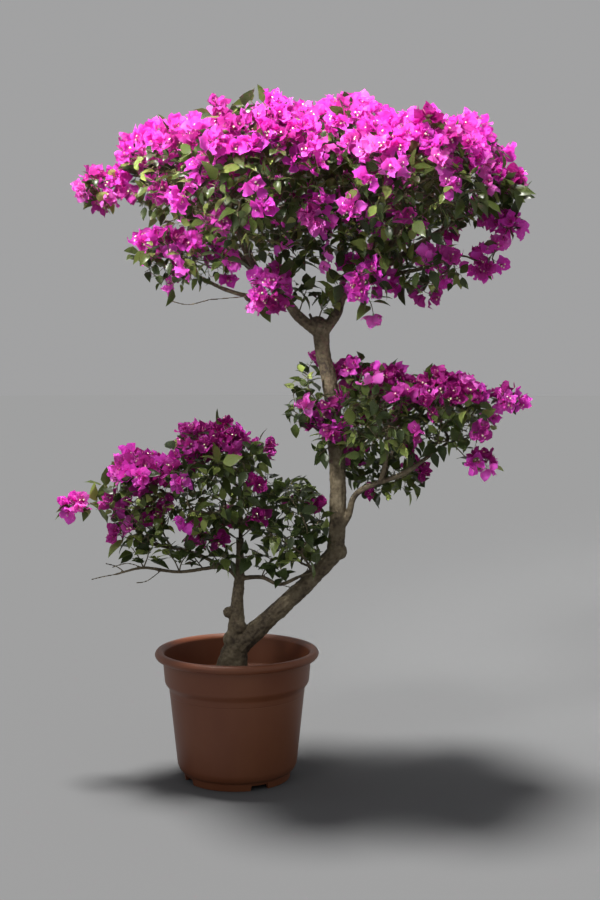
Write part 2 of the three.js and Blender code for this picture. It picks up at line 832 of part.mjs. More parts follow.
function fitSpray(mass, limbs, point, frame, roll, size) {
  for (let i = 0; i < SPRAY_TRIES; i += 1) {
    const turned = roll + i * SPRAY_TURN;
    const rim = sprayRim(point, frame, turned, size, mass.grain * (1 - SPRAY_SHRINK * i));
    if (rimFits(mass, limbs, rim)) return { point, frame, roll: turned, size, rim };
  }
  return null;
}

// Grows a mass from its stem. The nearest sprays join first, each to the knot that is the
// shortest way off with the least turn, by a twig that keeps to the space and off the limbs.
function growMass(mass, limbs) {
  const random = seededNumbers(mass.seed);
  const root = stemRoot(mass, limbs);
  const hub = root.point.clone().addScaledVector(root.direction, STEM.length);
  const knots = [
    { point: root.point, parent: -1, way: 0 },
    { point: hub, parent: 0, way: STEM.length },
  ];
  const waiting = placeSprays(mass, limbs, random);
  waiting.sort((a, b) => a.point.distanceTo(hub) - b.point.distanceTo(hub));
  const sprays = [];
  for (const spray of waiting) {
    const bend = [random() - 0.5, random() - 0.5, random() - 0.5];
    const choices = knots.slice(1).map((knot, i) => {
      const way = spray.point.clone().sub(knot.point);
      const reach = way.length();
      const turn = 1 - way.dot(spray.frame.direction) / reach;
      return { index: i + 1, reach, cost: reach * (1 + turn * TURN_COST) + knot.way * WAY_COST };
    });
    choices.sort((a, b) => a.cost - b.cost);
    for (const { index, reach } of choices.slice(0, JOIN_TRIES)) {
      const from = knots[index];
      const middle = from.point.clone().lerp(spray.point, 0.5);
      middle.addScaledVector(vector(bend), reach * TWIG.bend);
      if (!twigFits(mass, limbs, from.point, middle)) continue;
      if (!twigFits(mass, limbs, middle, spray.point)) continue;
      knots.push({ point: middle, parent: index, way: from.way + reach / 2 });
      knots.push({ point: spray.point, parent: knots.length - 1, way: from.way + reach });
      sprays.push({ ...spray, knot: knots.length - 1 });
      break;
    }
  }
  return { root, knots, sprays };
}

// Each twig is as thick as the number of sprays that it carries asks for.
function knotRadii(grown) {
  const loads = grown.knots.map(() => 0);
  for (const spray of grown.sprays) {
    for (let i = spray.knot; i >= 0; i = grown.knots[i].parent) loads[i] += 1;
  }
  return loads.map((load) => {
    const radius = TWIG.tipRadius * Math.max(1, load) ** TWIG.power;
    return Math.min(radius, grown.root.radius);
  });
}

function massSolid(mass, limbs) {
  const grown = growMass(mass, limbs);
  const radii = knotRadii(grown);
  const pieces = [];
  const { root, knots } = grown;
  const inside = root.point.clone().addScaledVector(root.direction, -STEM.overlap);
  pieces.push(tubeSolid([
    { point: inside, radius: root.radius, direction: root.direction },
    { point: knots[1].point, radius: radii[1], direction: root.direction },
  ], STEM.sides));
  for (const spray of grown.sprays) {
    const middle = knots[spray.knot].parent;
    const start = knots[middle].parent;
    const path = [knots[start].point, knots[middle].point, knots[spray.knot].point];
    const first = path[1].clone().sub(path[0]).normalize();
    const second = path[2].clone().sub(path[1]).normalize();
    const between = first.clone().add(second).normalize();
    const seat = aroundAxis(path[2], spray.frame, 0, 0, -spray.size.seat);
    pieces.push(sprayedTwig([
      { point: path[0], radius: Math.min(radii[start], radii[middle]), direction: first },
      { point: path[1], radius: radii[middle], direction: between },
      { point: seat, radius: radii[spray.knot], direction: spray.frame.direction },
    ], spray));
  }
  let solid = wasm.Manifold.union(pieces);
  const bearer = mass.bough ? limbs.get(mass.bough) : limbs.get('trunk_upper');
  solid = solid.subtract(bearer.grown);
  return largestBody(largestBody(solid).simplify(SMOOTHING));
}

function addPiece(group, name, geometry, finish) {
  const material = new THREE.MeshStandardMaterial({ ...finish, metalness: 0 });
  const mesh = new THREE.Mesh(geometry, material);
  mesh.name = name;
  group.add(mesh);
}

const plant = new THREE.Group();
addPiece(plant, 'pot', geometryOfSolid(potSolid()), FINISHES.pot);
addPiece(plant, 'soil', soilGeometry(), FINISHES.soil);

const limbs = makeLimbs();
for (const limb of limbs.values()) {
  addPiece(plant, limb.name, geometryOfSolid(limb.solid), FINISHES.bark);
}
for (const mass of MASSES) {
  addPiece(plant, mass.name, geometryOfSolid(massSolid(mass, limbs)), FINISHES.foliage);
}

export default plant;
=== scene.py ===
"""Looks of a bougainvillea trained like a small tree, standing in its round plastic pot.

The limbs, the spaces of the masses of foliage and the rule that grows the twigs are those of the
solids. Here the same rule is carried on to finer twigs, single blooms and single leaves. Sizes are
in mm unless a comment says otherwise, and are written to the meshes in metres.
"""

import math

import bpy
import numpy as np
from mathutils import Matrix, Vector, kdtree, noise


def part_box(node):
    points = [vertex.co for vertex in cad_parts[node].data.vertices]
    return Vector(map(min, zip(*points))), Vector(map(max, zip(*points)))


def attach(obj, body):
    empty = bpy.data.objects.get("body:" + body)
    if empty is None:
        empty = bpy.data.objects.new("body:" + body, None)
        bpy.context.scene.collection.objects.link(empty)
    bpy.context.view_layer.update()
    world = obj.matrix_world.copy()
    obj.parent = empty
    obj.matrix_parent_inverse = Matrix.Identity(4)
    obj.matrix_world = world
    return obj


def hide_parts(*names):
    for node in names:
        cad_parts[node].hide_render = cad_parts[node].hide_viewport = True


bl_info = {
    "name": "Potted bougainvillea tree",
    "version": (1, 0, 0),
    "blender": (4, 5, 0),
    "location": "3D View > Sidebar > Bougainvillea",
    "description": "Builds a bougainvillea tree in its pot, with bark, leaves and blossom",
    "category": "Object",
}

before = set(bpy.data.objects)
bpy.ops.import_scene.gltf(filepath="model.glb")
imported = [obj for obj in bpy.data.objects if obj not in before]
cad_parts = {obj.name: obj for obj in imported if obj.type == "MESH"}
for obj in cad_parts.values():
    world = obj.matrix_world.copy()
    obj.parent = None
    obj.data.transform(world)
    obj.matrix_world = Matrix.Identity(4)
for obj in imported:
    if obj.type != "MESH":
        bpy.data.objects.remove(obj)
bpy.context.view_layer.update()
POT_LOW, POT_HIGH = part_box("pot")

MM = 0.001
NEAR_UPRIGHT = 0.01

# Seeded numbers, as in the solids: each state gives the next by a factor and a step.
SEED_FACTOR = 1664525
SEED_STEP = 1013904223
SEED_RANGE = 4294967296

# Pot: heights above the ground and outer radii, as in the solids.
FOOT_RADIUS = 129
FOOT_HEIGHT = 22
FOOT_WALL = 7
HUB_RADIUS = 26
FLOOR_UNDERSIDE = 12
FLOOR_TOP = 17
CORNER_RADIUS = 138
BASE_RADIUS = 146
BASE_HEIGHT = 34
BODY_TOP_RADIUS = 166
BODY_TOP = 224
BAND_RADIUS = 176
BAND_BOTTOM = 238
BAND_TOP_RADIUS = 181
LIP_BOTTOM = 295
CORNER_STEPS = 4
POT_SMOOTH_ANGLE = 40
NOTCH_COUNT = 4
NOTCH_FIRST_ANGLE = -63
NOTCH_WIDTH = 19
NOTCH_HEIGHT = 12
NOTCH_DEPTH_MARGIN = 3
NOTCH_LIFTED_BELOW = 0.6
DRAIN_COUNT = 4
DRAIN_CIRCLE = 78
DRAIN_RADIUS = 7
DRAIN_SIDES = 32

# Soil: how far it keeps off the pot, its rings and the noise of its lumps and crumbs.
SOIL_TOP = 205
SOIL_CLEAR = 0.6
SOIL_LIFT = 0.5
SOIL_FOOT_INSET = 16
SOIL_CORNER = 4
SOIL_ROUNDING = 2
SOIL_SKIN = 1
SOIL_SIDES = 128
SOIL_RINGS = 44
SOIL_EVEN_EDGE = 12
SOIL_SMOOTH_ANGLE = 60
LUMP_SCALE = 55
LUMP_FRACTAL = (0.8, 2.1, 4)
CRUMB_SCALE = 220
CRUMB_SHARE = 0.6

# Limbs: stations are x, y, z and radius along the axis.
LIMB_STEP = 60
FLARE_LOBES = 3
FLARE_DEPTH = 0.14
FLARE_FADE = 110
FLARE_TURN = 0.6
STATION_LIMBS = {
    "trunk_lower": [
        (-16, 0, 190, 54), (-13, 0, 250, 41), (-4, 0, 312, 30), (24, 0, 343, 24),
        (97, 2, 407, 20), (194, 2, 501, 19), (238, 0, 552, 20),
    ],
    "trunk_upper": [
        (241, 0, 545, 20), (246, 2, 660, 19), (243, 4, 785, 18.5),
        (230, 2, 940, 17.5), (208, 0, 1045, 17), (205, 0, 1097, 19),
    ],
    "stem_left": [
        (-9, 0, 315, 20), (-1, 0, 372, 19), (1, 0, 430, 15),
        (7, 0, 500, 11), (8, 0, 590, 8.5),
    ],
    "bough_crown_left": [
        (205, 0, 1080, 13), (149, 3, 1127, 12), (116, 6, 1169, 10.5),
        (28, 0, 1250, 8), (-60, -10, 1335, 6),
    ],
    "bough_crown_right": [
        (205, 0, 1080, 13), (243, -2, 1134, 12), (262, -4, 1180, 11),
        (365, -6, 1250, 8), (490, -8, 1330, 6),
    ],
    "bough_middle_outer": [
        (244, 0, 598, 8), (270, -8, 642, 8), (296, -12, 703, 7),
        (403, -16, 748, 6), (480, -10, 800, 4.5),
    ],
    "bough_low_bare": [
        (6, 0, 488, 6), (-35, -12, 519, 5), (-138, -20, 509, 4),
        (-225, -22, 519, 3.5), (-292, -20, 503, 2.5),
    ],
    "bough_low_right": [
        (7, 0, 490, 6), (61, -22, 496, 5), (105, -34, 481, 4.5), (150, -44, 500, 4),
    ],
}

# Boughs off another limb: parent, share along it, heading, climb, climb at the tip, length, radii.
GROWN_LIMBS = {
    "bough_crown_front_left": ("bough_crown_left", 0.48, -122, 32, 62, 205, (8.5, 5)),
    "bough_crown_back_left": ("bough_crown_left", 0.56, 118, 32, 62, 205, (8.5, 5)),
    "bough_crown_low_left": ("bough_crown_left", 0.4, -172, 2, 26, 215, (6, 4)),
    "bough_crown_front_right": ("bough_crown_right", 0.52, -62, 32, 64, 205, (8.5, 5)),
    "bough_crown_back_right": ("bough_crown_right", 0.6, 66, 32, 64, 200, (8.5, 5)),
    "bough_crown_centre": ("bough_crown_right", 0.45, 165, 70, 86, 235, (8.5, 5)),
    "bough_crown_low_right": ("bough_crown_right", 0.5, -14, 2, 18, 180, (6, 4)),
    "bough_middle_inner": ("bough_middle_outer", 0.5, -60, 62, 80, 110, (6, 4.5)),
    "bough_middle_back": ("bough_middle_outer", 0.56, 62, 34, 58, 120, (5.5, 4)),
    "bough_low_left": ("bough_low_bare", 0.2, -176, 30, 12, 150, (4.6, 4)),
}
BOUGH_SEGMENTS = 3

# Rounded swellings where old limbs were pruned: centre and radius.
KNOBS = [
    ((250, -2, 556), 20), ((-20, -3, 407), 14), ((4, -6, 372), 20), ((-12, -4, 340), 22),
    ((2, -2, 438), 15), ((6, -2, 466), 13.5), ((2, 0, 412), 16), ((198, -1, 1108), 19),
]

# Short pruned stubs and spurs on the bark: place, heading, climb, length and radius.
SPURS = [
    ((205, -4, 1096), 170, 50, 34, 7),
    ((188, -8, 1108), 200, 62, 26, 4),
    ((246, -10, 660), 20, 40, 22, 6),
    ((238, -6, 800), 190, 35, 20, 5),
    ((226, -4, 960), 10, 40, 18, 5),
    ((2, -8, 452), 30, 50, 16, 5),
    ((120, -10, 430), -30, 60, 15, 5),
]

# Bare twigs that leave the low boughs in the open: points along each and radii at its ends.
BARE_TWIGS = [
    ([(-225, -22, 519), (-262, -30, 531), (-300, -34, 522)], (2.0, 1.0)),
    ([(-292, -20, 503), (-325, -22, 497), (-352, -20, 490)], (2.0, 0.8)),
    ([(-180, -21, 514), (-214, -36, 490), (-240, -44, 486)], (1.6, 0.8)),
    ([(-270, -21, 508), (-292, -16, 522), (-318, -12, 528)], (1.5, 0.8)),
    ([(150, -44, 500), (172, -52, 520), (180, -50, 556)], (2.4, 1.2)),
    ([(105, -34, 481), (140, -20, 470), (182, -14, 476)], (2.2, 1.0)),
    ([(61, -22, 496), (84, -40, 516), (120, -46, 530)], (1.8, 1.0)),
    ([(116, 6, 1169), (40, -30, 1172), (-60, -44, 1164)], (3.0, 1.4)),
    ([(-60, -44, 1164), (-110, -50, 1152), (-150, -52, 1160)], (1.4, 0.8)),
]
BARE_TWIG_STEP = 6
BARE_TWIG_LEAST = 1.9

# Bark: how much wider it is than the solids, how deep it goes into the soil and how far apart its
# samples are, and the foot and tip of a spur as shares of its radius.
BARK_SHARE = 1.07
BARK_FOOT = 3
BARK_STEP = 4
SPUR_FOOT = 1.3
SPUR_TIP = 0.85

# Relief of the bark: flutes on the flare of the trunk, ridges along each limb, knots and cracks.
FLARE_ABOVE_RADIUS = 21
FLUTE_DEPTH = 0.06
FLUTE_COUNT = 7
FLUTE_TWIST = 0.02
RIDGE_WIDTH = 2.2
RIDGE_LENGTH = 0.035
RIDGE_SCALE = 1.6
RIDGE_SHARE = 0.8
KNOT_SCALE = 26
KNOT_HEIGHT = 1.3
KNOT_SHARE = 0.6
CRACK_SCALE = 130
CRACK_FRACTAL = (0.9, 2.0, 3)
CRACK_MOST = 0.9
CRACK_SHARE = 0.05

# Leafy twigs that leave the limbs by themselves: points along each and what it bears at its tip.
LIMB_TWIGS = [
    ([(149, 3, 1127), (160, -20, 1160), (172, -34, 1196)], "leaf"),
    ([(116, 6, 1169), (136, -30, 1190), (160, -50, 1182)], "leaf"),
    ([(262, -4, 1180), (246, -30, 1196), (222, -48, 1188)], "leaf"),
    ([(243, -2, 1134), (232, -24, 1160), (206, -40, 1174)], "leaf"),
    ([(262, -4, 1180), (290, -42, 1184), (318, -62, 1160), (328, -66, 1124)], "bloom"),
    ([(200, -14, 1122), (206, -26, 1140), (218, -30, 1152)], "bare"),
    ([(88, 4, 1196), (70, -40, 1176), (52, -64, 1150)], "bloom"),
    ([(236, -14, 905), (228, -40, 912), (214, -56, 904)], "bloom"),
    ([(236, -14, 905), (246, -44, 896), (252, -58, 880)], "bloom"),
    ([(238, -14, 880), (236, -44, 872), (232, -60, 852)], "bloom"),
    ([(241, -12, 812), (222, -34, 812), (200, -44, 796)], "leaf"),
    ([(241, -12, 812), (224, -42, 830), (214, -52, 846)], "leaf"),
    ([(-1, 0, 520), (-26, -30, 545), (-60, -48, 552)], "leaf"),
    ([(7, 0, 560), (32, -30, 566), (62, -48, 556)], "leaf"),
    ([(7, 0, 540), (-8, -34, 552), (-20, -50, 540)], "leaf"),
    ([(-138, -20, 509), (-150, -36, 540), (-172, -46, 566)], "leaf"),
    ([(-225, -22, 519), (-236, -34, 548), (-252, -40, 572)], "leaf"),
    ([(180, -50, 556), (178, -56, 576), (166, -60, 592)], "leaf"),
    ([(-160, -20, 566), (-205, -48, 592), (-246, -62, 624)], "bloom"),
    ([(-160, -20, 566), (-222, -40, 582), (-284, -56, 606)], "bloom"),
    ([(-150, -20, 562), (-172, -60, 605), (-192, -84, 648)], "bloom"),
    ([(-160, -20, 566), (-212, -52, 628), (-262, -66, 672)], "bloom"),
    ([(-160, -20, 566), (-232, -50, 640), (-296, -60, 684)], "bloom"),
    ([(-160, -20, 566), (-190, -60, 650), (-214, -76, 708)], "bloom"),
    ([(8, 0, 588), (30, -60, 660), (50, -112, 730)], "bloom"),
    ([(8, 0, 588), (38, -64, 622), (58, -112, 656)], "bloom"),
    ([(-35, -12, 519), (-60, -48, 560), (-84, -68, 592)], "leaf"),
    ([(-35, -12, 519), (-34, -54, 536), (-26, -84, 560)], "leaf"),
    ([(-80, -16, 514), (-100, -48, 548), (-124, -68, 582)], "leaf"),
    ([(-138, -20, 509), (-130, -48, 536), (-112, -66, 562)], "leaf"),
    ([(-225, -22, 519), (-214, -40, 544), (-206, -50, 570)], "leaf"),
    ([(7, 0, 540), (28, -40, 550), (50, -66, 560)], "leaf"),
    ([(61, -22, 496), (70, -46, 520), (86, -60, 548)], "leaf"),
    ([(105, -34, 481), (112, -56, 508), (104, -72, 536)], "leaf"),
]
LIMB_TWIG_RADII = (2.2, 1.1)
LIMB_TWIG_STEPS = 4
LIMB_TWIG_LEAVES_AT = (0.5, 0.75)
LIMB_TWIG_SEED = 7

# Masses of foliage: the bough that each grows from, its seed, its grain, its share in bloom at
# foot and top, and its lobes. A lobe has a centre and radii, and may have its own share in bloom.
MASSES = {
    "foliage_crown_left": (
        "bough_crown_left", 11, 1, (0.7, 1),
        [
            ((-85, -20, 1450), (185, 195, 155)),
            ((-236, -14, 1510), (64, 66, 60), 1),
            ((-322, -10, 1430), (74, 74, 66), 1),
        ],
    ),
    "foliage_crown_front_left": (
        "bough_crown_front_left", 23, 1, (0.5, 1),
        [
            ((55, -215, 1432), (200, 180, 182)),
            ((88, -118, 1188), (66, 72, 70), 0.9),
            ((160, -120, 1300), (105, 110, 92), 0.25),
        ],
    ),
    "foliage_crown_back_left": (
        "bough_crown_back_left", 37, 1.15, (0.35, 1),
        [((55, 215, 1430), (200, 180, 178))],
    ),
    "foliage_crown_low_left": (
        "bough_crown_low_left", 41, 0.85, (0.6, 0.95),
        [((-120, -40, 1258), (140, 140, 85))],
    ),
    "foliage_crown_centre": (
        "bough_crown_centre", 53, 1, (0.6, 1),
        [((262, 0, 1502), (185, 180, 152))],
    ),
    "foliage_crown_front_right": (
        "bough_crown_front_right", 61, 1, (0.25, 1),
        [
            ((392, -215, 1426), (195, 180, 156)),
            ((302, -120, 1208), (82, 80, 78), 0.85),
            ((318, -120, 1300), (105, 110, 92), 0.2),
        ],
    ),
    "foliage_crown_back_right": (
        "bough_crown_back_right", 71, 1.15, (0.35, 1),
        [((392, 215, 1435), (200, 180, 172))],
    ),
    "foliage_crown_low_right": (
        "bough_crown_low_right", 83, 0.85, (0.6, 0.7),
        [
            ((452, -60, 1228), (108, 110, 78)),
            ((598, -45, 1252), (62, 66, 62), 0.9),
            ((652, -45, 1335), (52, 56, 54), 1),
        ],
    ),
    "foliage_crown_right": (
        "bough_crown_right", 97, 1, (0.4, 1),
        [((536, -10, 1458), (130, 182, 142)), ((634, -10, 1422), (72, 125, 64))],
    ),
    "foliage_middle_inner": (
        "bough_middle_inner", 101, 0.75, (0.1, 1),
        [((338, -60, 880), (118, 125, 122)), ((292, 62, 985), (78, 70, 62), 1)],
    ),
    "foliage_middle_outer": (
        "bough_middle_outer", 113, 0.75, (0.1, 1),
        [
            ((510, -10, 895), (125, 160, 112)),
            ((658, -10, 925), (58, 56, 48), 1),
            ((596, -25, 775), (56, 52, 46), 0.9),
        ],
    ),
    "foliage_middle_back": (
        "bough_middle_back", 127, 0.8, (0, 0.9),
        [((360, 100, 880), (140, 120, 130)), ((370, 75, 745), (125, 95, 85), 0.15)],
    ),
    "foliage_middle_left": (
        None, 131, 0.7, (0.2, 0.7),
        [((160, -25, 915), (62, 80, 92)), ((184, 45, 1012), (38, 42, 50), 1)],
    ),
    "foliage_low_left": (
        "bough_low_left", 139, 0.8, (0.5, 1),
        [
            ((-222, -20, 688), (112, 155, 132)),
            ((-338, -14, 676), (60, 34, 32), 0),
            ((-392, -10, 668), (50, 48, 44), 1),
        ],
    ),
    "foliage_low_centre": (
        "stem_left", 149, 0.8, (0, 1),
        [((-55, 0, 725), (165, 175, 158))],
    ),
    "foliage_low_right": (
        "bough_low_right", 151, 0.8, (0, 0.25),
        [((135, -30, 635), (108, 145, 122))],
    ),
}
TRUNK_STEM_HEIGHT = 850
TRUNK_STEM_HEADING = -165
TRUNK_STEM_CLIMB = 20
TRUNK_STEM_RADIUS = 4
TRUNK_STEM_DEPTH = 0.8

# The rule of the solids: a spray at the end of each twig, with three broad bracts or leaves.
SPRAY_SIZES = {
    "bloom": {"tilt": 60, "length": 90, "width": 92, "heart": 16},
    "leaf": {"tilt": 66, "length": 92, "width": 64, "heart": 9},
}
SPRAY_PIECES = 3
SPRAY_TRIES = 10
SPRAY_TURN = 0.7
SPRAY_SHRINK = 0.05
SPRAY_REACH = 40
SHELLS = (1, 0.5)
PLACE_AREA = 2600
SPRAY_SPACING = 104
TIP_SPACING = 0.75
LEAST_REACH = 4
TURN_STRAY = 0.5
BLOOM_RISE = (0.25, 0.8)
JOIN_TRIES = 12
LIFT = 0.15
TWIG_TIP_RADIUS = 1.7
TWIG_BEND = 0.16
LIMB_CLEAR = 2.5
STEM_LENGTH = 36
RIM_POINTS = 4
RIM_TIP = 2
SPACE_MARGIN = 0.04
SPACE_EDGE = 1.14
TURN_COST = 0.3
WAY_COST = 0.3
TWIG_PROBES = 6

# The same rule carried on to finer twigs. What one bears depends on how far off the nearest broad
# spray is and what that bears, and on how high in its mass it is.
FINE_SHELLS = (1.0, 0.84, 0.66, 0.46)
FINE_REACH = 34
FINE_PLACE_AREA = 420
FINE_SPACING = 36
FINE_TIP_SPACING = 0.42
FINE_GRAIN_SHARES = (0.55, 0.45)
FINE_BREADTH = 18
FINE_LENGTH = 36
FINE_MIDDLE = 0.6
FINE_PROBES = 4
FINE_LIMB_CLEAR = 1.5
FINE_BLOOM_RISE = (0.40, 0.92)
FINE_STRAY = 0.35
FINE_TURN_STRAY = 0.9
FINE_BEND = 1.6
FINE_TIP_RADIUS = 0.8
FINE_POWER = 0.4
CLUSTER_SPACING = 26
BLOOM_REACH_AT_FOOT = 24
BLOOM_REACH_AT_TOP = 88
BLOOM_REACH_POWER = 2.6
LONE_BLOOMS = 0.37
SAME_KIND_SHARE = 0.86
ALWAYS_KEPT_WITHIN = 31
KEPT_AT_FOOT = 0.19
KEPT_AT_TOP = 0.78
LOBE_FULLNESS = 0.7
BARE_SHARE = 0.85
BARE_BELOW = 0.6

# Twigs as drawn: least length, how much each bows on from the last, how wide it may begin, and
# the lone leaves along the slender ones.
TWIG_LEAST_LENGTH = 0.5
TWIG_BOW = 0.4
TWIG_STRAIGHT = 0.6
TWIG_FOOT = 1.25
TWIG_SIDES = 3
LONE_LEAF_TWIG = 16
LONE_LEAF_LOAD = 3
LONE_LEAF_SHARE = 0.55
LONE_LEAF_SCALE = 0.85

# The end of a fine twig. A count is drawn from its first number up to below its last.
TIP_GRAIN_SHARES = (0.82, 0.18)
BARE_TIP_LEAVES = (0, 3)
BARE_TIP_SCALE = 0.7
LEAF_TIP_LEAVES = (2, 5)
HEAD_BLOOMS = (2, 5)
HEAD_BACK = 8
HEAD_LEAN = (0.55, 1.05)
HEAD_REACH = (6, 13)
HEAD_RADII = (0.7, 0.6)
HEAD_BLOOM_SCALE = 0.95
HEAD_LEAVES_SHARE = 0.45
HEAD_LEAVES_BACK = 16
LEAF_PAIR = 2

# Blooms: three bracts round three tubes. Angles are in degrees, and bracts turn in radians.
BLOOM_PIECES = 3
BLOOM_OPENING = (26, 58)
BRACT_TURN_STRAY = 0.3
BRACT_TILT_STRAY = 16
BRACT_SIZES = (0.82, 1.14)
BRACT_BREADTHS = (0.85, 1.1)
BRACT_SEAT = 1.5
TUBE_LEAN = 0.3
TUBE_LENGTHS = (0.8, 1.1)
TUBE_RADII = (1.1, 1.5)
OPEN_FLOWERS = 0.4
STAR_LIFT = 0.6
STAR_RADIUS = 3.2
STAR_CORNERS = 10
STAR_VALLEY = 0.5
STAR_DEPTH = 0.25

# Leaves: how they lean and droop, their sizes from least to most, and their stalks.
LEAF_STEP_DEGREES = 137.5
LEAF_STEP = 7.5
LEAF_FORWARD = (0.1, 0.8)
LEAF_DROOP = -0.18
LEAF_FACE_FORWARD = 0.4
LEAF_FACE_STRAY = 0.45
LEAF_EDGE_ON = 0.95
LEAF_SIZES = (0.55, 0.85, 1.35)
STALK_LENGTH = 7
STALK_RADII = (0.7, 0.5)

# Forms of bracts and leaves: shares of length and half width, and how far each form is cupped,
# arched, curled at its tip and ruffled along its edges.
BRACT_ROWS = [(0.13, 0.60), (0.36, 1.0), (0.62, 0.90), (0.85, 0.46)]
BRACT_FORMS = [
    (0.40, -0.30, 0.35, 0.16),
    (0.55, -0.20, -0.25, -0.20),
    (0.25, -0.45, 0.80, 0.24),
    (0.10, -0.10, 0.30, -0.28),
]
EDGE_RUFFLE = 0.6
LEAF_ROWS = [(0.10, 0.50), (0.32, 1.0), (0.60, 0.80), (0.84, 0.34)]
LEAF_FORMS = [(0.28, 0.14, -0.30, 0), (0.40, 0.05, -0.75, 0.06), (0.18, 0.20, 0.10, -0.08)]

# Colours. A bract's tint has a brightness, a shift of green and a share of blue. Blossom that
# stands under the crown is given mostly deeper, darker tints: painted shade of the crown above it.
BRACT_TINTS = [
    ("bract_magenta", 1.0, 0.0, 1.0),
    ("bract_bright", 1.12, 0.045, 1.0),
    ("bract_deep", 0.70, 0.0, 0.86),
    ("bract_pink", 1.08, 0.11, 1.0),
    # Darkest tint: a painted-shade copy of the bract colour, dealt out mostly under the crown.
    ("bract_painted_shade", 0.44, -0.022, 0.72),
]
BRACT_SHARES = [0.38, 0.27, 0.19, 0.13, 0.03]
BRACT_GLOW = (1.15, 0.8, 0.88)
# Blossom below this height and between these two x places takes the darker shares: painted shade of
# the crown.
CROWN_SHADE_BELOW = 1060
CROWN_SHADE_REACH = (-245, 620)
CROWN_SHADE_SHARES = [0.16, 0.05, 0.34, 0.03, 0.42]
LEAF_TINTS = [
    ("leaf_green", (0.072, 0.100, 0.024, 1)),
    ("leaf_dark", (0.036, 0.053, 0.017, 1)),
    ("leaf_light", (0.175, 0.220, 0.058, 1)),
    ("leaf_young", (0.290, 0.360, 0.090, 1)),
]
LEAF_SHARES = [0.40, 0.40, 0.15, 0.05]
LEAF_GLOW = 2.0
STALK_COLOUR = (0.14, 0.15, 0.05, 1)
TUBE_COLOUR = (0.42, 0.06, 0.20, 1)
FLOWER_COLOUR = (0.86, 0.80, 0.56, 1)
BLADE_ROUGHNESS_STRAY = 0.1

PIECE_FACES = 190000

# Stage, in metres and degrees.
FLOOR_RADIUS = 30
FLOOR_SIDES = 96
FLOOR_RED = 0.985
FLOOR_BLUE = 1.03
SKY_COLOUR = (0.60, 0.60, 0.605, 1)
TREE_CENTRE = (0.17, 0, 1.0)
CROWN_CENTRE = (0.12, 0, 1.58)
OVERHEAD_TURN = (-4, -6)
OVERHEAD_ANGLE = 12
OVERHEAD_COLOUR = (1, 0.985, 0.95)
FRONT_PLACE = (-2.6, -3.4, 2.0)
FRONT_COLOUR = (0.95, 0.97, 1)
CROWN_LIGHT_PLACE = (-1.5, -2.0, 2.9)
CROWN_LIGHT_COLOUR = (1, 0.985, 0.96)
SENSOR_WIDTH = 36
CAMERA_PLACE = (0.154, -3.345, 1.042)
CAMERA_DIP = 4.08


class PotSizes(bpy.types.PropertyGroup):
    """Sizes and colours of the pot."""

    height: bpy.props.FloatProperty(
        name="Height", description="Height of the pot", default=POT_HIGH[2] - POT_LOW[2],
        unit="LENGTH",
    )
    rim_radius: bpy.props.FloatProperty(
        name="Rim radius", description="Outer radius of the rolled rim", default=POT_HIGH[0],
        unit="LENGTH",
    )
    wall: bpy.props.FloatProperty(
        name="Wall", description="Thickness of the wall", default=0.004, unit="LENGTH",
    )
    sides: bpy.props.IntProperty(
        name="Sides", description="Sides of the turned shape", default=240,
    )
    colour: bpy.props.FloatVectorProperty(
        name="Plastic", description="Colour of the plastic", default=(0.140, 0.036, 0.012, 1),
        size=4, subtype="COLOR",
    )
    worn_colour: bpy.props.FloatVectorProperty(
        name="Worn plastic", description="Paler colour of rubbed and dusty places",
        default=(0.20, 0.070, 0.028, 1), size=4, subtype="COLOR",
    )


class SoilSizes(bpy.types.PropertyGroup):
    """Sizes and colours of the soil."""

    lumps: bpy.props.FloatProperty(
        name="Lumps", description="Height of the lumps of the surface", default=0.004,
        unit="LENGTH",
    )
    colour: bpy.props.FloatVectorProperty(
        name="Soil", description="Colour of the damp soil", default=(0.028, 0.018, 0.012, 1),
        size=4, subtype="COLOR",
    )
    dry_colour: bpy.props.FloatVectorProperty(
        name="Dry soil", description="Colour of the dry crumbs", default=(0.11, 0.078, 0.052, 1),
        size=4, subtype="COLOR",
    )


class BarkSizes(bpy.types.PropertyGroup):
    """Relief and colours of the bark."""

    grain: bpy.props.FloatProperty(
        name="Mesh size", description="Size of the faces of the bark", default=0.0023,
        unit="LENGTH",
    )
    relief: bpy.props.FloatProperty(
        name="Relief", description="Depth of the relief as a share of the limb's radius",
        default=0.12,
    )
    colour: bpy.props.FloatVectorProperty(
        name="Bark", description="Colour of the old bark", default=(0.122, 0.094, 0.056, 1),
        size=4, subtype="COLOR",
    )
    pale_colour: bpy.props.FloatVectorProperty(
        name="Pale bark", description="Colour of the ridges", default=(0.225, 0.185, 0.118, 1),
        size=4, subtype="COLOR",
    )
    dark_colour: bpy.props.FloatVectorProperty(
        name="Dark bark", description="Colour of the cracks", default=(0.046, 0.032, 0.021, 1),
        size=4, subtype="COLOR",
    )


class FoliageSizes(bpy.types.PropertyGroup):
    """Sizes and colours of twigs, leaves and blossom."""

    bract_length: bpy.props.FloatProperty(
        name="Bract length", description="Length of a bract", default=0.032, unit="LENGTH",
    )
    bract_width: bpy.props.FloatProperty(
        name="Bract width", description="Width of a bract", default=0.028, unit="LENGTH",
    )
    leaf_length: bpy.props.FloatProperty(
        name="Leaf length", description="Length of a leaf", default=0.044, unit="LENGTH",
    )
    leaf_width: bpy.props.FloatProperty(
        name="Leaf width", description="Width of a leaf", default=0.025, unit="LENGTH",
    )
    tube_length: bpy.props.FloatProperty(
        name="Flower tube", description="Length of the small flower's tube", default=0.019,
        unit="LENGTH",
    )
    bract_colour: bpy.props.FloatVectorProperty(
        name="Bracts", description="Colour of most bracts", default=(0.82, 0.085, 0.72, 1),
        size=4, subtype="COLOR",
    )
    twig_colour: bpy.props.FloatVectorProperty(
        name="Twigs", description="Colour of the young twigs", default=(0.115, 0.088, 0.048, 1),
        size=4, subtype="COLOR",
    )


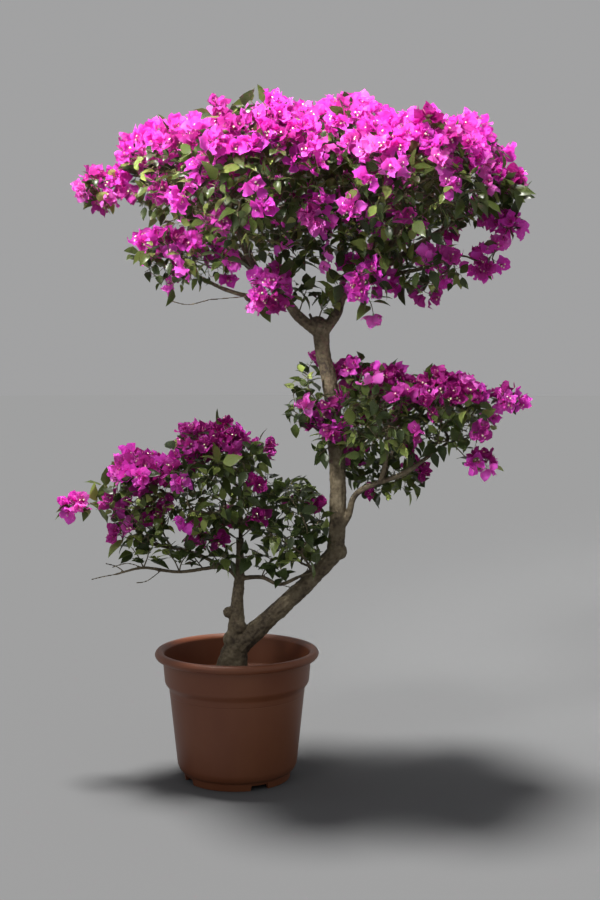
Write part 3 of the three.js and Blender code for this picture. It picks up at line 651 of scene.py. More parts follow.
class StageSizes(bpy.types.PropertyGroup):
    """Camera, lights and floor."""

    lens: bpy.props.FloatProperty(
        name="Lens", description="Focal length of the camera in mm", default=55.4,
    )
    key_power: bpy.props.FloatProperty(
        name="Overhead light", description="Strength of the light from above", default=7.0,
    )
    fill_power: bpy.props.FloatProperty(
        name="Front light", description="Power of the light at the front", default=9,
        subtype="POWER",
    )
    crown_power: bpy.props.FloatProperty(
        name="Crown light", description="Power of the light on the crown", default=13,
        subtype="POWER",
    )
    sky: bpy.props.FloatProperty(
        name="Sky", description="Strength of the even light from all round", default=0.6,
    )
    floor: bpy.props.FloatProperty(
        name="Floor", description="Paleness of the floor", default=0.1385, min=0, max=1,
    )


# Small tools for meshes and directions.


def only(obj):
    """Deselects everything and makes one object the active one."""
    bpy.ops.object.select_all(action="DESELECT")
    obj.select_set(True)
    bpy.context.view_layer.objects.active = obj


def named(obj, name, slot, *nodes):
    """Gives a finished piece its name, its body and the nodes it stands for; the slot is not used.
    """
    obj.name = name
    obj.data.name = name
    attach(obj, "root")
    if nodes:
        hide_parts(*nodes)


def apply_modifiers(obj):
    """Applies all the modifiers of an object."""
    only(obj)
    for modifier in list(obj.modifiers):
        bpy.ops.object.modifier_apply(modifier=modifier.name)


def read_points(obj, what="co"):
    """The places of an object's vertices as an array, or their normals."""
    values = np.empty(len(obj.data.vertices) * 3)
    obj.data.vertices.foreach_get(what, values)
    return values.reshape(-1, 3)


def write_points(obj, points):
    """Moves the vertices of an object to the points given."""
    obj.data.vertices.foreach_set("co", points.astype(np.float32).ravel())
    obj.data.update()


def mesh_from_arrays(name, points, triangles, materials, choice):
    """A joined mesh from arrays of points in mm and of triangles, with a material for each face."""
    mesh = bpy.data.meshes.new(name)
    mesh.vertices.add(len(points))
    mesh.vertices.foreach_set("co", (points * MM).astype(np.float32).ravel())
    mesh.loops.add(len(triangles) * 3)
    mesh.loops.foreach_set("vertex_index", triangles.astype(np.int32).ravel())
    mesh.polygons.add(len(triangles))
    starts = np.arange(0, len(triangles) * 3, 3, dtype=np.int32)
    mesh.polygons.foreach_set("loop_start", starts)
    for material in materials:
        mesh.materials.append(material)
    mesh.polygons.foreach_set("material_index", choice.astype(np.int32))
    mesh.polygons.foreach_set("use_smooth", np.ones(len(triangles), dtype=bool))
    mesh.update(calc_edges=True)
    mesh.validate()
    obj = bpy.data.objects.new(name, mesh)
    bpy.context.scene.collection.objects.link(obj)
    return obj


def dress(obj, material, smooth_angle):
    """Gives a piece its one material, and smooth shading across edges flatter than the angle."""
    only(obj)
    bpy.ops.object.shade_smooth_by_angle(angle=math.radians(smooth_angle))
    obj.data.materials.clear()
    obj.data.materials.append(material)


def unit(vector):
    """A vector of length one."""
    return vector / np.linalg.norm(vector)


def heading_direction(heading, climb):
    """The direction with a heading and a climb in degrees."""
    turn = math.radians(heading)
    rise = math.radians(climb)
    return np.array([
        math.cos(rise) * math.cos(turn),
        math.cos(rise) * math.sin(turn),
        math.sin(rise),
    ])


def frame_across(direction, upright=(0.0, 0.0, 1.0)):
    """A direction and two vectors across it. The first of them is square to the upright too."""
    side = np.cross(direction, upright)
    if side @ side < NEAR_UPRIGHT:
        side = np.array([1.0, 0.0, 0.0])
    side = unit(side)
    return direction, side, np.cross(direction, side)


def across(axes, angle):
    """The direction across an axis at an angle about it."""
    return math.cos(angle) * axes[1] + math.sin(angle) * axes[2]


# Materials.


def new_material(name, colour, roughness):
    """A material with a plain shader, its nodes and its links."""
    material = bpy.data.materials.new(name)
    material.use_nodes = True
    material.diffuse_color = colour
    shader = material.node_tree.nodes["Principled BSDF"]
    shader.inputs["Base Color"].default_value = colour
    shader.inputs["Roughness"].default_value = roughness
    return material, shader, material.node_tree.nodes, material.node_tree.links


def noise_node(nodes, links, scale, detail, stretch=(1, 1, 1)):
    """Noise on the object's own coordinates."""
    place = nodes.new("ShaderNodeTexCoord")
    mapping = nodes.new("ShaderNodeMapping")
    mapping.inputs["Scale"].default_value = stretch
    pattern = nodes.new("ShaderNodeTexNoise")
    pattern.inputs["Scale"].default_value = scale
    pattern.inputs["Detail"].default_value = detail
    links.new(place.outputs["Object"], mapping.inputs["Vector"])
    links.new(mapping.outputs["Vector"], pattern.inputs["Vector"])
    return pattern


def ramp_node(nodes, links, source, stops):
    """A colour ramp fed by a pattern; stops are places and colours."""
    ramp = nodes.new("ShaderNodeValToRGB")
    elements = ramp.color_ramp.elements
    while len(elements) < len(stops):
        elements.new(0.5)
    for element, (place, colour) in zip(elements, stops):
        element.position = place
        element.color = colour
    links.new(source, ramp.inputs["Fac"])
    return ramp


def range_node(nodes, links, source, low, high):
    """Takes a pattern from 0..1 to a range of numbers."""
    node = nodes.new("ShaderNodeMapRange")
    node.inputs["To Min"].default_value = low
    node.inputs["To Max"].default_value = high
    links.new(source, node.inputs["Value"])
    return node


def add_bump(nodes, links, shader, source, strength, distance):
    """Puts a bump on a shader from a pattern; the distance is in metres."""
    bump = nodes.new("ShaderNodeBump")
    bump.inputs["Strength"].default_value = strength
    bump.inputs["Distance"].default_value = distance
    links.new(source, bump.inputs["Height"])
    links.new(bump.outputs["Normal"], shader.inputs["Normal"])


def pot_material(sizes):
    """Brown plastic with a satin skin, paler where it is rubbed and dusty."""
    material, shader, nodes, links = new_material("pot_plastic", sizes.colour, roughness=0.45)
    broad = noise_node(nodes, links, scale=5, detail=6, stretch=(1, 1, 0.6))
    stops = [(0.35, sizes.colour), (0.75, sizes.worn_colour)]
    ramp = ramp_node(nodes, links, broad.outputs["Fac"], stops)
    links.new(ramp.outputs["Color"], shader.inputs["Base Color"])
    fine = noise_node(nodes, links, scale=260, detail=3)
    rough = range_node(nodes, links, broad.outputs["Fac"], low=0.36, high=0.58)
    links.new(rough.outputs["Result"], shader.inputs["Roughness"])
    add_bump(nodes, links, shader, fine.outputs["Fac"], strength=0.12, distance=0.0006)
    return material


def soil_material(sizes):
    """Damp dark soil with dry crumbs."""
    material, shader, nodes, links = new_material("potting_soil", sizes.colour, roughness=0.95)
    grains = noise_node(nodes, links, scale=90, detail=8)
    stops = [(0.4, sizes.colour), (0.7, sizes.dry_colour)]
    ramp = ramp_node(nodes, links, grains.outputs["Fac"], stops)
    links.new(ramp.outputs["Color"], shader.inputs["Base Color"])
    add_bump(nodes, links, shader, grains.outputs["Fac"], strength=0.8, distance=0.003)
    return material


def bark_material(sizes):
    """Grey-brown bark, dark in its cracks and pale on its ridges."""
    material, shader, nodes, links = new_material("bark", sizes.colour, roughness=0.85)
    patches = noise_node(nodes, links, scale=22, detail=8)
    cracks = noise_node(nodes, links, scale=130, detail=8)
    blend = nodes.new("ShaderNodeMath")
    blend.operation = "MULTIPLY_ADD"
    links.new(cracks.outputs["Fac"], blend.inputs[0])
    crack_share = 0.42
    blend.inputs[1].default_value = crack_share
    faint_patches = range_node(nodes, links, patches.outputs["Fac"], low=0.0, high=0.58)
    links.new(faint_patches.outputs["Result"], blend.inputs[2])
    stops = [(0.38, sizes.dark_colour), (0.50, sizes.colour), (0.68, sizes.pale_colour)]
    ramp = ramp_node(nodes, links, blend.outputs["Value"], stops)
    links.new(ramp.outputs["Color"], shader.inputs["Base Color"])
    rough = range_node(nodes, links, cracks.outputs["Fac"], low=0.95, high=0.7)
    links.new(rough.outputs["Result"], shader.inputs["Roughness"])
    add_bump(nodes, links, shader, blend.outputs["Value"], strength=0.7, distance=0.0022)
    return material


def leaf_like_material(name, colour, roughness, through, glow):
    """A thin leaf or bract: one plain colour, with a share of the light coming through it."""
    material, shader, nodes, links = new_material(name, colour, roughness)
    shader.inputs["Specular IOR Level"].default_value = 0.35
    crinkle = noise_node(nodes, links, scale=300, detail=2)
    rough = range_node(
        nodes, links, crinkle.outputs["Fac"],
        low=roughness - BLADE_ROUGHNESS_STRAY, high=roughness + BLADE_ROUGHNESS_STRAY,
    )
    links.new(rough.outputs["Result"], shader.inputs["Roughness"])
    lit = nodes.new("ShaderNodeBsdfTranslucent")
    lit.inputs["Color"].default_value = glow
    mix = nodes.new("ShaderNodeMixShader")
    mix.inputs["Fac"].default_value = through
    output = nodes["Material Output"]
    links.new(shader.outputs["BSDF"], mix.inputs[1])
    links.new(lit.outputs["BSDF"], mix.inputs[2])
    links.new(mix.outputs["Shader"], output.inputs["Surface"])
    return material


def tinted(colour, brightness, green_shift=0.0, blue_share=1.0):
    """A colour made brighter or darker, greener, and with less blue in it."""
    red, green, blue, alpha = colour
    return (
        min(1, red * brightness),
        min(1, max(0, green * brightness + green_shift)),
        min(1, blue * brightness * blue_share),
        alpha,
    )


# Pot and soil.


def rounded(profile):
    """A profile with its corners rounded; each station is radius, height and rounding."""
    points = []
    for i, (radius, height, rounding) in enumerate(profile):
        here = np.array([radius, height], dtype=float)
        if rounding == 0 or i in (0, len(profile) - 1):
            points.append(here)
            continue
        before = np.array(profile[i - 1][:2], dtype=float) - here
        after = np.array(profile[i + 1][:2], dtype=float) - here
        first = here + before / np.linalg.norm(before) * rounding
        last = here + after / np.linalg.norm(after) * rounding
        for k in range(CORNER_STEPS + 1):
            share = k / CORNER_STEPS
            point = first * (1 - share) ** 2 + here * 2 * share * (1 - share) + last * share**2
            points.append(point)
    return points


def turned(profile, sides):
    """A closed turned shape: a disc whose edge is extruded from one station to the next."""
    bpy.ops.object.select_all(action="DESELECT")
    radius, height = profile[0] * MM
    bpy.ops.mesh.primitive_circle_add(
        vertices=sides, radius=radius, fill_type="NGON", location=(0, 0, height)
    )
    obj = bpy.context.object
    bpy.ops.object.transform_apply(location=True, rotation=True, scale=True)
    bpy.ops.object.mode_set(mode="EDIT")
    bpy.ops.mesh.select_mode(type="EDGE")
    bpy.ops.mesh.select_all(action="SELECT")
    for next_radius, next_height in (point * MM for point in profile[1:]):
        bpy.ops.mesh.extrude_edges_indiv()
        bpy.ops.transform.translate(value=(0, 0, next_height - height))
        scale = next_radius / radius
        bpy.ops.transform.resize(value=(scale, scale, 1), center_override=(0, 0, 0))
        radius, height = next_radius, next_height
    bpy.ops.mesh.edge_face_add()
    bpy.ops.mesh.select_all(action="SELECT")
    bpy.ops.mesh.normals_make_consistent(inside=False)
    bpy.ops.object.mode_set(mode="OBJECT")
    return obj


def pot_profile(sizes):
    """The pot's section from the middle of its underside, out, up, over the rim and back inside."""
    height = sizes.height / MM
    rim = sizes.rim_radius / MM
    wall = sizes.wall / MM
    inner_foot = FOOT_RADIUS - FOOT_WALL
    inner_body = BODY_TOP_RADIUS - wall
    return rounded([
        # Hub, underside of the floor and foot ring.
        (HUB_RADIUS, 0, 0),
        (HUB_RADIUS + 0.5, FLOOR_UNDERSIDE, 0),
        (inner_foot, FLOOR_UNDERSIDE, 2),
        (inner_foot, 0, 1.5),
        (FOOT_RADIUS, 0, 1.5),
        (FOOT_RADIUS + 2, FOOT_HEIGHT - 3, 2),
        # Round corner and sloping wall, with a fine step below its top.
        (CORNER_RADIUS + 1, FOOT_HEIGHT + 1, 4),
        (BASE_RADIUS, BASE_HEIGHT, 9),
        (BODY_TOP_RADIUS - 1.8, BODY_TOP - 16, 0.8),
        (BODY_TOP_RADIUS - 2.2, BODY_TOP - 15, 0.5),
        (BODY_TOP_RADIUS - 1.2, BODY_TOP - 14, 0.8),
        (BODY_TOP_RADIUS, BODY_TOP, 4),
        # Raised band and rolled lip.
        (BAND_RADIUS, BAND_BOTTOM, 4),
        (BAND_TOP_RADIUS, LIP_BOTTOM, 3),
        (rim - 5, LIP_BOTTOM + 1.5, 3),
        (rim, LIP_BOTTOM + 8, 4),
        (rim, height - 7, 4),
        (rim - 5, height, 4),
        (BAND_TOP_RADIUS + 3, height, 3),
        # Back down inside to the floor.
        (BAND_TOP_RADIUS - wall, height - 7, 4),
        (BAND_RADIUS - wall, BAND_BOTTOM + 3, 3),
        (inner_body, BODY_TOP, 3),
        (BASE_RADIUS - wall, BASE_HEIGHT, 6),
        (CORNER_RADIUS - wall, FLOOR_TOP, 6),
        (HUB_RADIUS, FLOOR_TOP, 0),
    ])


def cut_foot_notches(obj):
    """Raises the underside of the foot ring in a few places, so that water can run out."""
    points = read_points(obj)
    angles = np.degrees(np.arctan2(points[:, 1], points[:, 0]))
    radii = np.hypot(points[:, 0], points[:, 1]) / MM
    low = points[:, 2] < NOTCH_HEIGHT * MM * NOTCH_LIFTED_BELOW
    low &= radii > FOOT_RADIUS - FOOT_WALL - NOTCH_DEPTH_MARGIN
    for i in range(NOTCH_COUNT):
        centre = NOTCH_FIRST_ANGLE + 360 * i / NOTCH_COUNT
        off = (angles - centre + 180) % 360 - 180
        inside = low & (np.abs(off) <= NOTCH_WIDTH / 2)
        points[inside, 2] += NOTCH_HEIGHT * MM
    write_points(obj, points)


def drill_drain_holes(obj):
    """Round holes through the floor of the pot."""
    for i in range(DRAIN_COUNT):
        angle = math.tau * i / DRAIN_COUNT
        place = (
            math.cos(angle) * DRAIN_CIRCLE * MM,
            math.sin(angle) * DRAIN_CIRCLE * MM,
            FLOOR_TOP * MM,
        )
        bpy.ops.object.select_all(action="DESELECT")
        bpy.ops.mesh.primitive_cylinder_add(
            vertices=DRAIN_SIDES, radius=DRAIN_RADIUS * MM, depth=FLOOR_TOP * 2 * MM,
            location=place,
        )
        drill = bpy.context.object
        hole = obj.modifiers.new("hole", "BOOLEAN")
        hole.operation = "DIFFERENCE"
        hole.object = drill
        apply_modifiers(obj)
        bpy.data.objects.remove(drill)


class OBJECT_OT_bougainvillea_pot(bpy.types.Operator):
    """Turns the pot with its rolled rim, its band, its notched foot and its drain holes"""

    bl_idname = "object.bougainvillea_pot"
    bl_label = "Pot"

    def execute(self, context):
        sizes = context.scene.bougainvillea_pot
        obj = turned(pot_profile(sizes), sizes.sides)
        cut_foot_notches(obj)
        drill_drain_holes(obj)
        dress(obj, pot_material(sizes), POT_SMOOTH_ANGLE)
        named(obj, "pot_shell", "pot", "pot")
        return {"FINISHED"}


class OBJECT_OT_bougainvillea_soil(bpy.types.Operator):
    """Fills the pot with soil that has a lumpy top"""

    bl_idname = "object.bougainvillea_soil"
    bl_label = "Soil"

    def execute(self, context):
        sizes = context.scene.bougainvillea_soil
        wall = context.scene.bougainvillea_pot.wall / MM
        share = (SOIL_TOP - BASE_HEIGHT) / (BODY_TOP - BASE_HEIGHT)
        top_radius = BASE_RADIUS + (BODY_TOP_RADIUS - BASE_RADIUS) * share
        inset = wall + SOIL_CLEAR
        profile = [
            (CORNER_RADIUS - SOIL_FOOT_INSET, FLOOR_TOP + SOIL_LIFT),
            (CORNER_RADIUS - inset - SOIL_CORNER, FLOOR_TOP + SOIL_LIFT),
            (BASE_RADIUS - inset - SOIL_SKIN, BASE_HEIGHT + SOIL_ROUNDING),
            (top_radius - inset, SOIL_TOP - SOIL_ROUNDING),
        ]
        for i in range(SOIL_RINGS):
            inward = 1 - (i + 0.5) / (SOIL_RINGS + 1)
            profile.append(((top_radius - inset - SOIL_SKIN) * inward, SOIL_TOP))
        obj = turned([np.array(point, dtype=float) for point in profile], SOIL_SIDES)
        points = read_points(obj)
        top = points[:, 2] > (SOIL_TOP - SOIL_SKIN) * MM
        radii = np.hypot(points[:, 0], points[:, 1]) / MM
        for i in np.nonzero(top)[0]:
            place = Vector(points[i])
            lump = noise.fractal(place * LUMP_SCALE, *LUMP_FRACTAL)
            lump += CRUMB_SHARE * noise.noise(place * CRUMB_SCALE)
            edge = min(1, (top_radius - radii[i]) / SOIL_EVEN_EDGE)
            points[i, 2] += lump * sizes.lumps * edge
        write_points(obj, points)
        dress(obj, soil_material(sizes), SOIL_SMOOTH_ANGLE)
        named(obj, "soil_fill", "soil", "soil")
        return {"FINISHED"}


# Limbs and bark.


def curve_point(points, share):
    """A point of a smooth curve through the points, at a share of its length in stations."""
    place = share * (len(points) - 1)
    i = min(int(place), len(points) - 2)
    weight = place - i
    start, end = points[i], points[i + 1]
    before = points[i - 1] if i > 0 else start * 2 - end
    after = points[i + 2] if i + 2 < len(points) else end * 2 - start
    leave = (end - before) * 0.5
    arrive = (after - start) * 0.5
    square = start * -3 + end * 3 - leave * 2 - arrive
    cube = (start - end) * 2 + leave + arrive
    return start + leave * weight + square * weight**2 + cube * weight**3


def curve_direction(points, share):
    """The direction of that curve."""
    step = 0.0001
    before = curve_point(points, max(0, share - step))
    after = curve_point(points, min(1, share + step))
    return unit(after - before)


def limb_samples(stations, longest):
    """Points, radii and directions along a limb, no further apart than the longest step."""
    points = np.array([station[:3] for station in stations], dtype=float)
    samples = []
    last = len(stations) - 1
    for i in range(last):
        length = np.linalg.norm(points[i + 1] - points[i])
        steps = math.ceil(length / longest)
        for j in range(steps + (1 if i == last - 1 else 0)):
            share = (i + j / steps) / last
            radius = stations[i][3] + (stations[i + 1][3] - stations[i][3]) * j / steps
            place = curve_point(points, share)
            samples.append((place, radius, curve_direction(points, share)))
    return samples


def branch_stations(parent, row):
    """The stations of a bough that leaves its parent at a share of the parent's samples."""
    _, at, heading, climb, tip_climb, length, radii = row
    start = parent[int(math.floor(at * (len(parent) - 1) + 0.5))][0]
    point = start.copy()
    stations = [(*point, radii[0])]
    for i in range(BOUGH_SEGMENTS):
        rise = climb + (tip_climb - climb) * i / (BOUGH_SEGMENTS - 1)
        point = point + heading_direction(heading, rise) * length / BOUGH_SEGMENTS
        radius = radii[0] + (radii[1] - radii[0]) * (i + 1) / BOUGH_SEGMENTS
        stations.append((*point, radius))
    return stations


def make_limbs():
    """The stations and the samples of every limb."""
    stations = dict(STATION_LIMBS)
    samples = {name: limb_samples(rows, LIMB_STEP) for name, rows in stations.items()}
    for name, row in GROWN_LIMBS.items():
        stations[name] = branch_stations(samples[row[0]], row)
        samples[name] = limb_samples(stations[name], LIMB_STEP)
    return stations, samples


def tube_curve(name, paths):
    """A mesh of round tubes; each path is a list of points in mm with a radius in mm."""
    data = bpy.data.curves.new(name, "CURVE")
    data.dimensions = "3D"
    data.bevel_depth = MM
    data.bevel_resolution = 4
    data.use_fill_caps = True
    for path in paths:
        spline = data.splines.new("POLY")
        spline.points.add(len(path) - 1)
        for point, (place, radius) in zip(spline.points, path):
            point.co = (place[0] * MM, place[1] * MM, place[2] * MM, 1)
            point.radius = radius
    obj = bpy.data.objects.new(name, data)
    bpy.context.scene.collection.objects.link(obj)
    only(obj)
    bpy.ops.object.convert(target="MESH")
    return bpy.context.object


def spur_path(spur):
    """A short stub that narrows a little and ends blunt."""
    place, heading, climb, length, radius = spur
    way = heading_direction(heading, climb)
    start = np.array(place, dtype=float)
    return [
        (start - way * radius, radius * SPUR_FOOT),
        (start + way * length * 0.5, radius),
        (start + way * length, radius * SPUR_TIP),
    ]


def add_knobs():
    """Rounded swellings where old limbs were pruned."""
    balls = []
    for centre, radius in KNOBS:
        bpy.ops.object.select_all(action="DESELECT")
        bpy.ops.mesh.primitive_ico_sphere_add(
            subdivisions=3, radius=radius * MM, location=[value * MM for value in centre]
        )
        bpy.ops.object.transform_apply(location=True, rotation=True, scale=True)
        balls.append(bpy.context.object)
    return balls


def bark_relief(points, normals, dense, sizes):
    """Moves the bark's points: buttresses at the foot, ridges along each limb, knots and cracks."""
    tree = kdtree.KDTree(len(dense))
    for i, (place, _, _) in enumerate(dense):
        tree.insert(place * MM, i)
    tree.balance()
    moved = points.copy()
    for i, point in enumerate(points):
        _, nearest, _ = tree.find(point)
        place, radius, direction = dense[nearest]
        _, side, other = frame_across(direction, (0, 1, 0))
        off = point / MM - place
        angle = math.atan2(off @ other, off @ side)
        along = off @ direction + nearest * BARK_STEP
        height = point[2] / MM
        fade = max(0, 1 - (height - SOIL_TOP) / FLARE_FADE) if radius > FLARE_ABOVE_RADIUS else 0
        flare = FLARE_DEPTH * fade * math.cos(FLARE_LOBES * angle + FLARE_TURN) * radius
        flare += FLUTE_DEPTH * fade * math.cos(FLUTE_COUNT * angle + along * FLUTE_TWIST) * radius
        spot = Vector((
            math.cos(angle) * RIDGE_WIDTH, math.sin(angle) * RIDGE_WIDTH, along * RIDGE_LENGTH,
        ))
        ridge = noise.noise(spot * RIDGE_SCALE)
        knots = noise.noise(Vector(point) * KNOT_SCALE) * KNOT_HEIGHT
        cracks = noise.fractal(Vector(point) * CRACK_SCALE, *CRACK_FRACTAL)
        depth = sizes.relief * radius
        shift = flare + depth * (ridge * RIDGE_SHARE + knots * KNOT_SHARE)
        shift += cracks * min(CRACK_MOST, radius * CRACK_SHARE)
        moved[i] = point + normals[i] * shift * MM
    return moved


class OBJECT_OT_bougainvillea_bark(bpy.types.Operator):
    """Makes the trunk, the stem and the boughs as one skin with the relief of bark"""

    bl_idname = "object.bougainvillea_bark"
    bl_label = "Bark"

    def execute(self, context):
        sizes = context.scene.bougainvillea_bark
        stations, _ = make_limbs()
        dense = []
        paths = []
        for rows in stations.values():
            samples = limb_samples(rows, BARK_STEP)
            dense.extend(samples)
            paths.append([(place, radius * BARK_SHARE) for place, radius, _ in samples])
        paths.extend(spur_path(spur) for spur in SPURS)
        for spots, (first, last) in BARE_TWIGS:
            rows = []
            for i, spot in enumerate(spots):
                rows.append((*spot, first + (last - first) * i / (len(spots) - 1)))
            samples = limb_samples(rows, BARE_TWIG_STEP)
            dense.extend(samples)
            paths.append([(place, max(radius, BARE_TWIG_LEAST)) for place, radius, _ in samples])
        obj = tube_curve("bark", paths)
        balls = add_knobs()
        only(obj)
        for ball in balls:
            ball.select_set(True)
        bpy.ops.object.join()
        obj.data.materials.clear()
        remesh = obj.modifiers.new("one skin", "REMESH")
        remesh.mode = "VOXEL"
        remesh.voxel_size = sizes.grain
        remesh.use_smooth_shade = True
        even = obj.modifiers.new("even", "SMOOTH")
        even.factor = 0.5
        even.iterations = 2
        apply_modifiers(obj)
        points = bark_relief(read_points(obj), read_points(obj, "normal"), dense, sizes)
        write_points(obj, points)
        only(obj)
        bpy.ops.object.mode_set(mode="EDIT")
        bpy.ops.mesh.select_all(action="SELECT")
        bpy.ops.mesh.bisect(
            plane_co=(0, 0, (SOIL_TOP - BARK_FOOT) * MM), plane_no=(0, 0, 1),
            use_fill=True, clear_inner=True,
        )
        bpy.ops.object.mode_set(mode="OBJECT")
        obj.data.materials.append(bark_material(sizes))
        named(obj, "bark_skin", "bark", *stations)
        return {"FINISHED"}


# Growth of the twigs.


def seeded_numbers(seed):
    """Numbers from 0 to 1 that repeat for the same seed."""
    state = seed

    def following():
        nonlocal state
        state = (state * SEED_FACTOR + SEED_STEP) % SEED_RANGE
        return state / SEED_RANGE

    return following


def stray(random):
    """A short vector in any direction."""
    return np.array([random() - 0.5, random() - 0.5, random() - 0.5])


class Spaces:
    """The spaces of the masses and the limbs that they keep clear of, as arrays."""

    def __init__(self, samples):
        centres = []
        radii = []
        self.starts = []
        for _, _, _, _, lobes in MASSES.values():
            self.starts.append(len(centres))
            for centre, size, *_ in lobes:
                centres.append(centre)
                radii.append(size)
        self.centres = np.array(centres, dtype=float)
        self.radii = np.array(radii, dtype=float)
        begin = []
        end = []
        thick = []
        for limb in samples.values():
            for first, second in zip(limb, limb[1:]):
                begin.append(first[0])
                end.append(second[0])
                thick.append(max(first[1], second[1]))
        self.begin = np.array(begin)
        self.along = np.array(end) - self.begin
        self.squares = (self.along**2).sum(1)
        self.thick = np.array(thick)

    def depths(self, points):
        """How far out each point lies in each mass: 0 at a lobe's centre, 1 on its surface."""
        off = (points[:, None, :] - self.centres) / self.radii
        return np.minimum.reduceat(np.sqrt((off**2).sum(2)), self.starts, axis=1)

    def inside(self, mass, points):
        """Whether each point lies in the mass's own space."""
        depths = self.depths(points)
        own = depths[:, mass].copy()
        depths[:, mass] = np.inf
        return (own <= SPACE_EDGE) & (depths.min(1) > own + SPACE_MARGIN)

    def clear(self, points, clearance):
        """Whether each point keeps its distance from every limb."""
        off = points[:, None, :] - self.begin
        share = np.clip((off * self.along).sum(2) / self.squares, 0, 1)
        away = off - self.along * share[:, :, None]
        distance = np.sqrt((away**2).sum(2))
        return (distance >= self.thick + clearance).all(1)

    def in_any(self, points):
        """Whether all the points lie in the space of one mass or another."""
        return (self.depths(points).min(1) <= SPACE_EDGE).all()

    def fits(self, mass, points, clearance):
        """Whether all the points are in the mass's space and clear of the limbs."""
        return self.inside(mass, points).all() and self.clear(points, clearance).all()


def around_axis(point, axes, angle, out, rise):
    """A point at an angle about an axis, out from it and up along it."""
    direction, side, other = axes
    sideways = side * math.cos(angle) * out + other * math.sin(angle) * out
    return point + direction * rise + sideways


def spray_rim(point, axes, roll, size, scale):
    """The rim of a broad spray: a valley, a side, a tip and a side for each of its pieces."""
    tilt = math.radians(size["tilt"])
    middle = size["length"] * scale * 0.5
    half_width = size["width"] * scale / 2
    spread = math.atan2(half_width, middle * math.sin(tilt))
    broad = math.hypot(middle * math.sin(tilt), half_width)
    rise = middle * math.cos(tilt)
    rim = []
    for i in range(SPRAY_PIECES):
        angle = roll + math.tau * i / SPRAY_PIECES
        rim.append(around_axis(point, axes, angle - math.pi / SPRAY_PIECES, size["heart"], 0))
        rim.append(around_axis(point, axes, angle - spread, broad, rise))
        rim.append(around_axis(point, axes, angle, middle * 2 * math.sin(tilt), rise * 2))
        rim.append(around_axis(point, axes, angle + spread, broad, rise))
    return np.array(rim)


def smooth_step(value, low, high):
    """A smooth rise from 0 at low to 1 at high."""
    share = min(1, max(0, (value - low) / (high - low)))
    return share * share * (3 - 2 * share)


def bloom_share(bloom, lobe_bloom, share):
    """The share in bloom at a share of the mass's height, or the lobe's own share."""
    if lobe_bloom is not None:
        return lobe_bloom
    return bloom[0] + (bloom[1] - bloom[0]) * share


def shell_targets(lobes, shells, inset, spacing_of, area_each, random):
    """Places spread evenly over shells of each lobe: point, outward direction and spacing."""
    golden_angle = math.pi * (3 - math.sqrt(5))
    targets = []
    for centre, radii, *own_bloom in lobes:
        spacing = spacing_of(radii)
        lobe_bloom = own_bloom[0] if own_bloom else None
        for shell in shells:
            reach = [max((radius - inset) * shell, LEAST_REACH) for radius in radii]
            area = reach[0] * reach[1] + reach[1] * reach[2] + reach[2] * reach[0]
            count = max(2, int(math.floor(4 * math.pi * area / 3 / area_each + 0.5)))
            for k in range(count):
                height = 1 - 2 * (k + 0.5) / count
                ring = math.sqrt(1 - height * height)
                turn = k * golden_angle + random() * TURN_STRAY
                outward = np.array([math.cos(turn) * ring, math.sin(turn) * ring, height])
                point = np.array(centre) + outward * reach
                targets.append((point, outward, spacing, lobe_bloom))
    return targets


def place_sprays(spaces, mass, row, random):
    """The broad sprays of a mass, as in the solids."""
    _, _, grain, bloom, lobes = row

    def spacing_of(radii):
        return min(SPRAY_SPACING * grain, min(radii) * TIP_SPACING)

    inset = SPRAY_REACH * grain
    targets = shell_targets(lobes, SHELLS, inset, spacing_of, PLACE_AREA, random)
    heights = [target[0][2] for target in targets]
    low, high = min(heights), max(heights)
    sprays = []
    for point, outward, spacing, lobe_bloom in targets:
        share = smooth_step((point[2] - low) / (high - low), *BLOOM_RISE)
        kind = "bloom" if random() < bloom_share(bloom, lobe_bloom, share) else "leaf"
        roll = random() * math.tau
        if any(np.linalg.norm(spray["point"] - point) < spacing for spray in sprays):
            continue
        axes = frame_across(unit(outward + np.array([0, 0, LIFT])))
        for i in range(SPRAY_TRIES):
            turned_roll = roll + i * SPRAY_TURN
            scale = grain * (1 - SPRAY_SHRINK * i)
            rim = spray_rim(point, axes, turned_roll, SPRAY_SIZES[kind], scale)
            probes = np.concatenate([rim, (rim + np.roll(rim, -1, axis=0)) / 2])
            if spaces.fits(mass, probes, LIMB_CLEAR):
                sprays.append({"point": point, "axes": axes, "kind": kind, "rim": rim})
                break
    return sprays, (low, high)


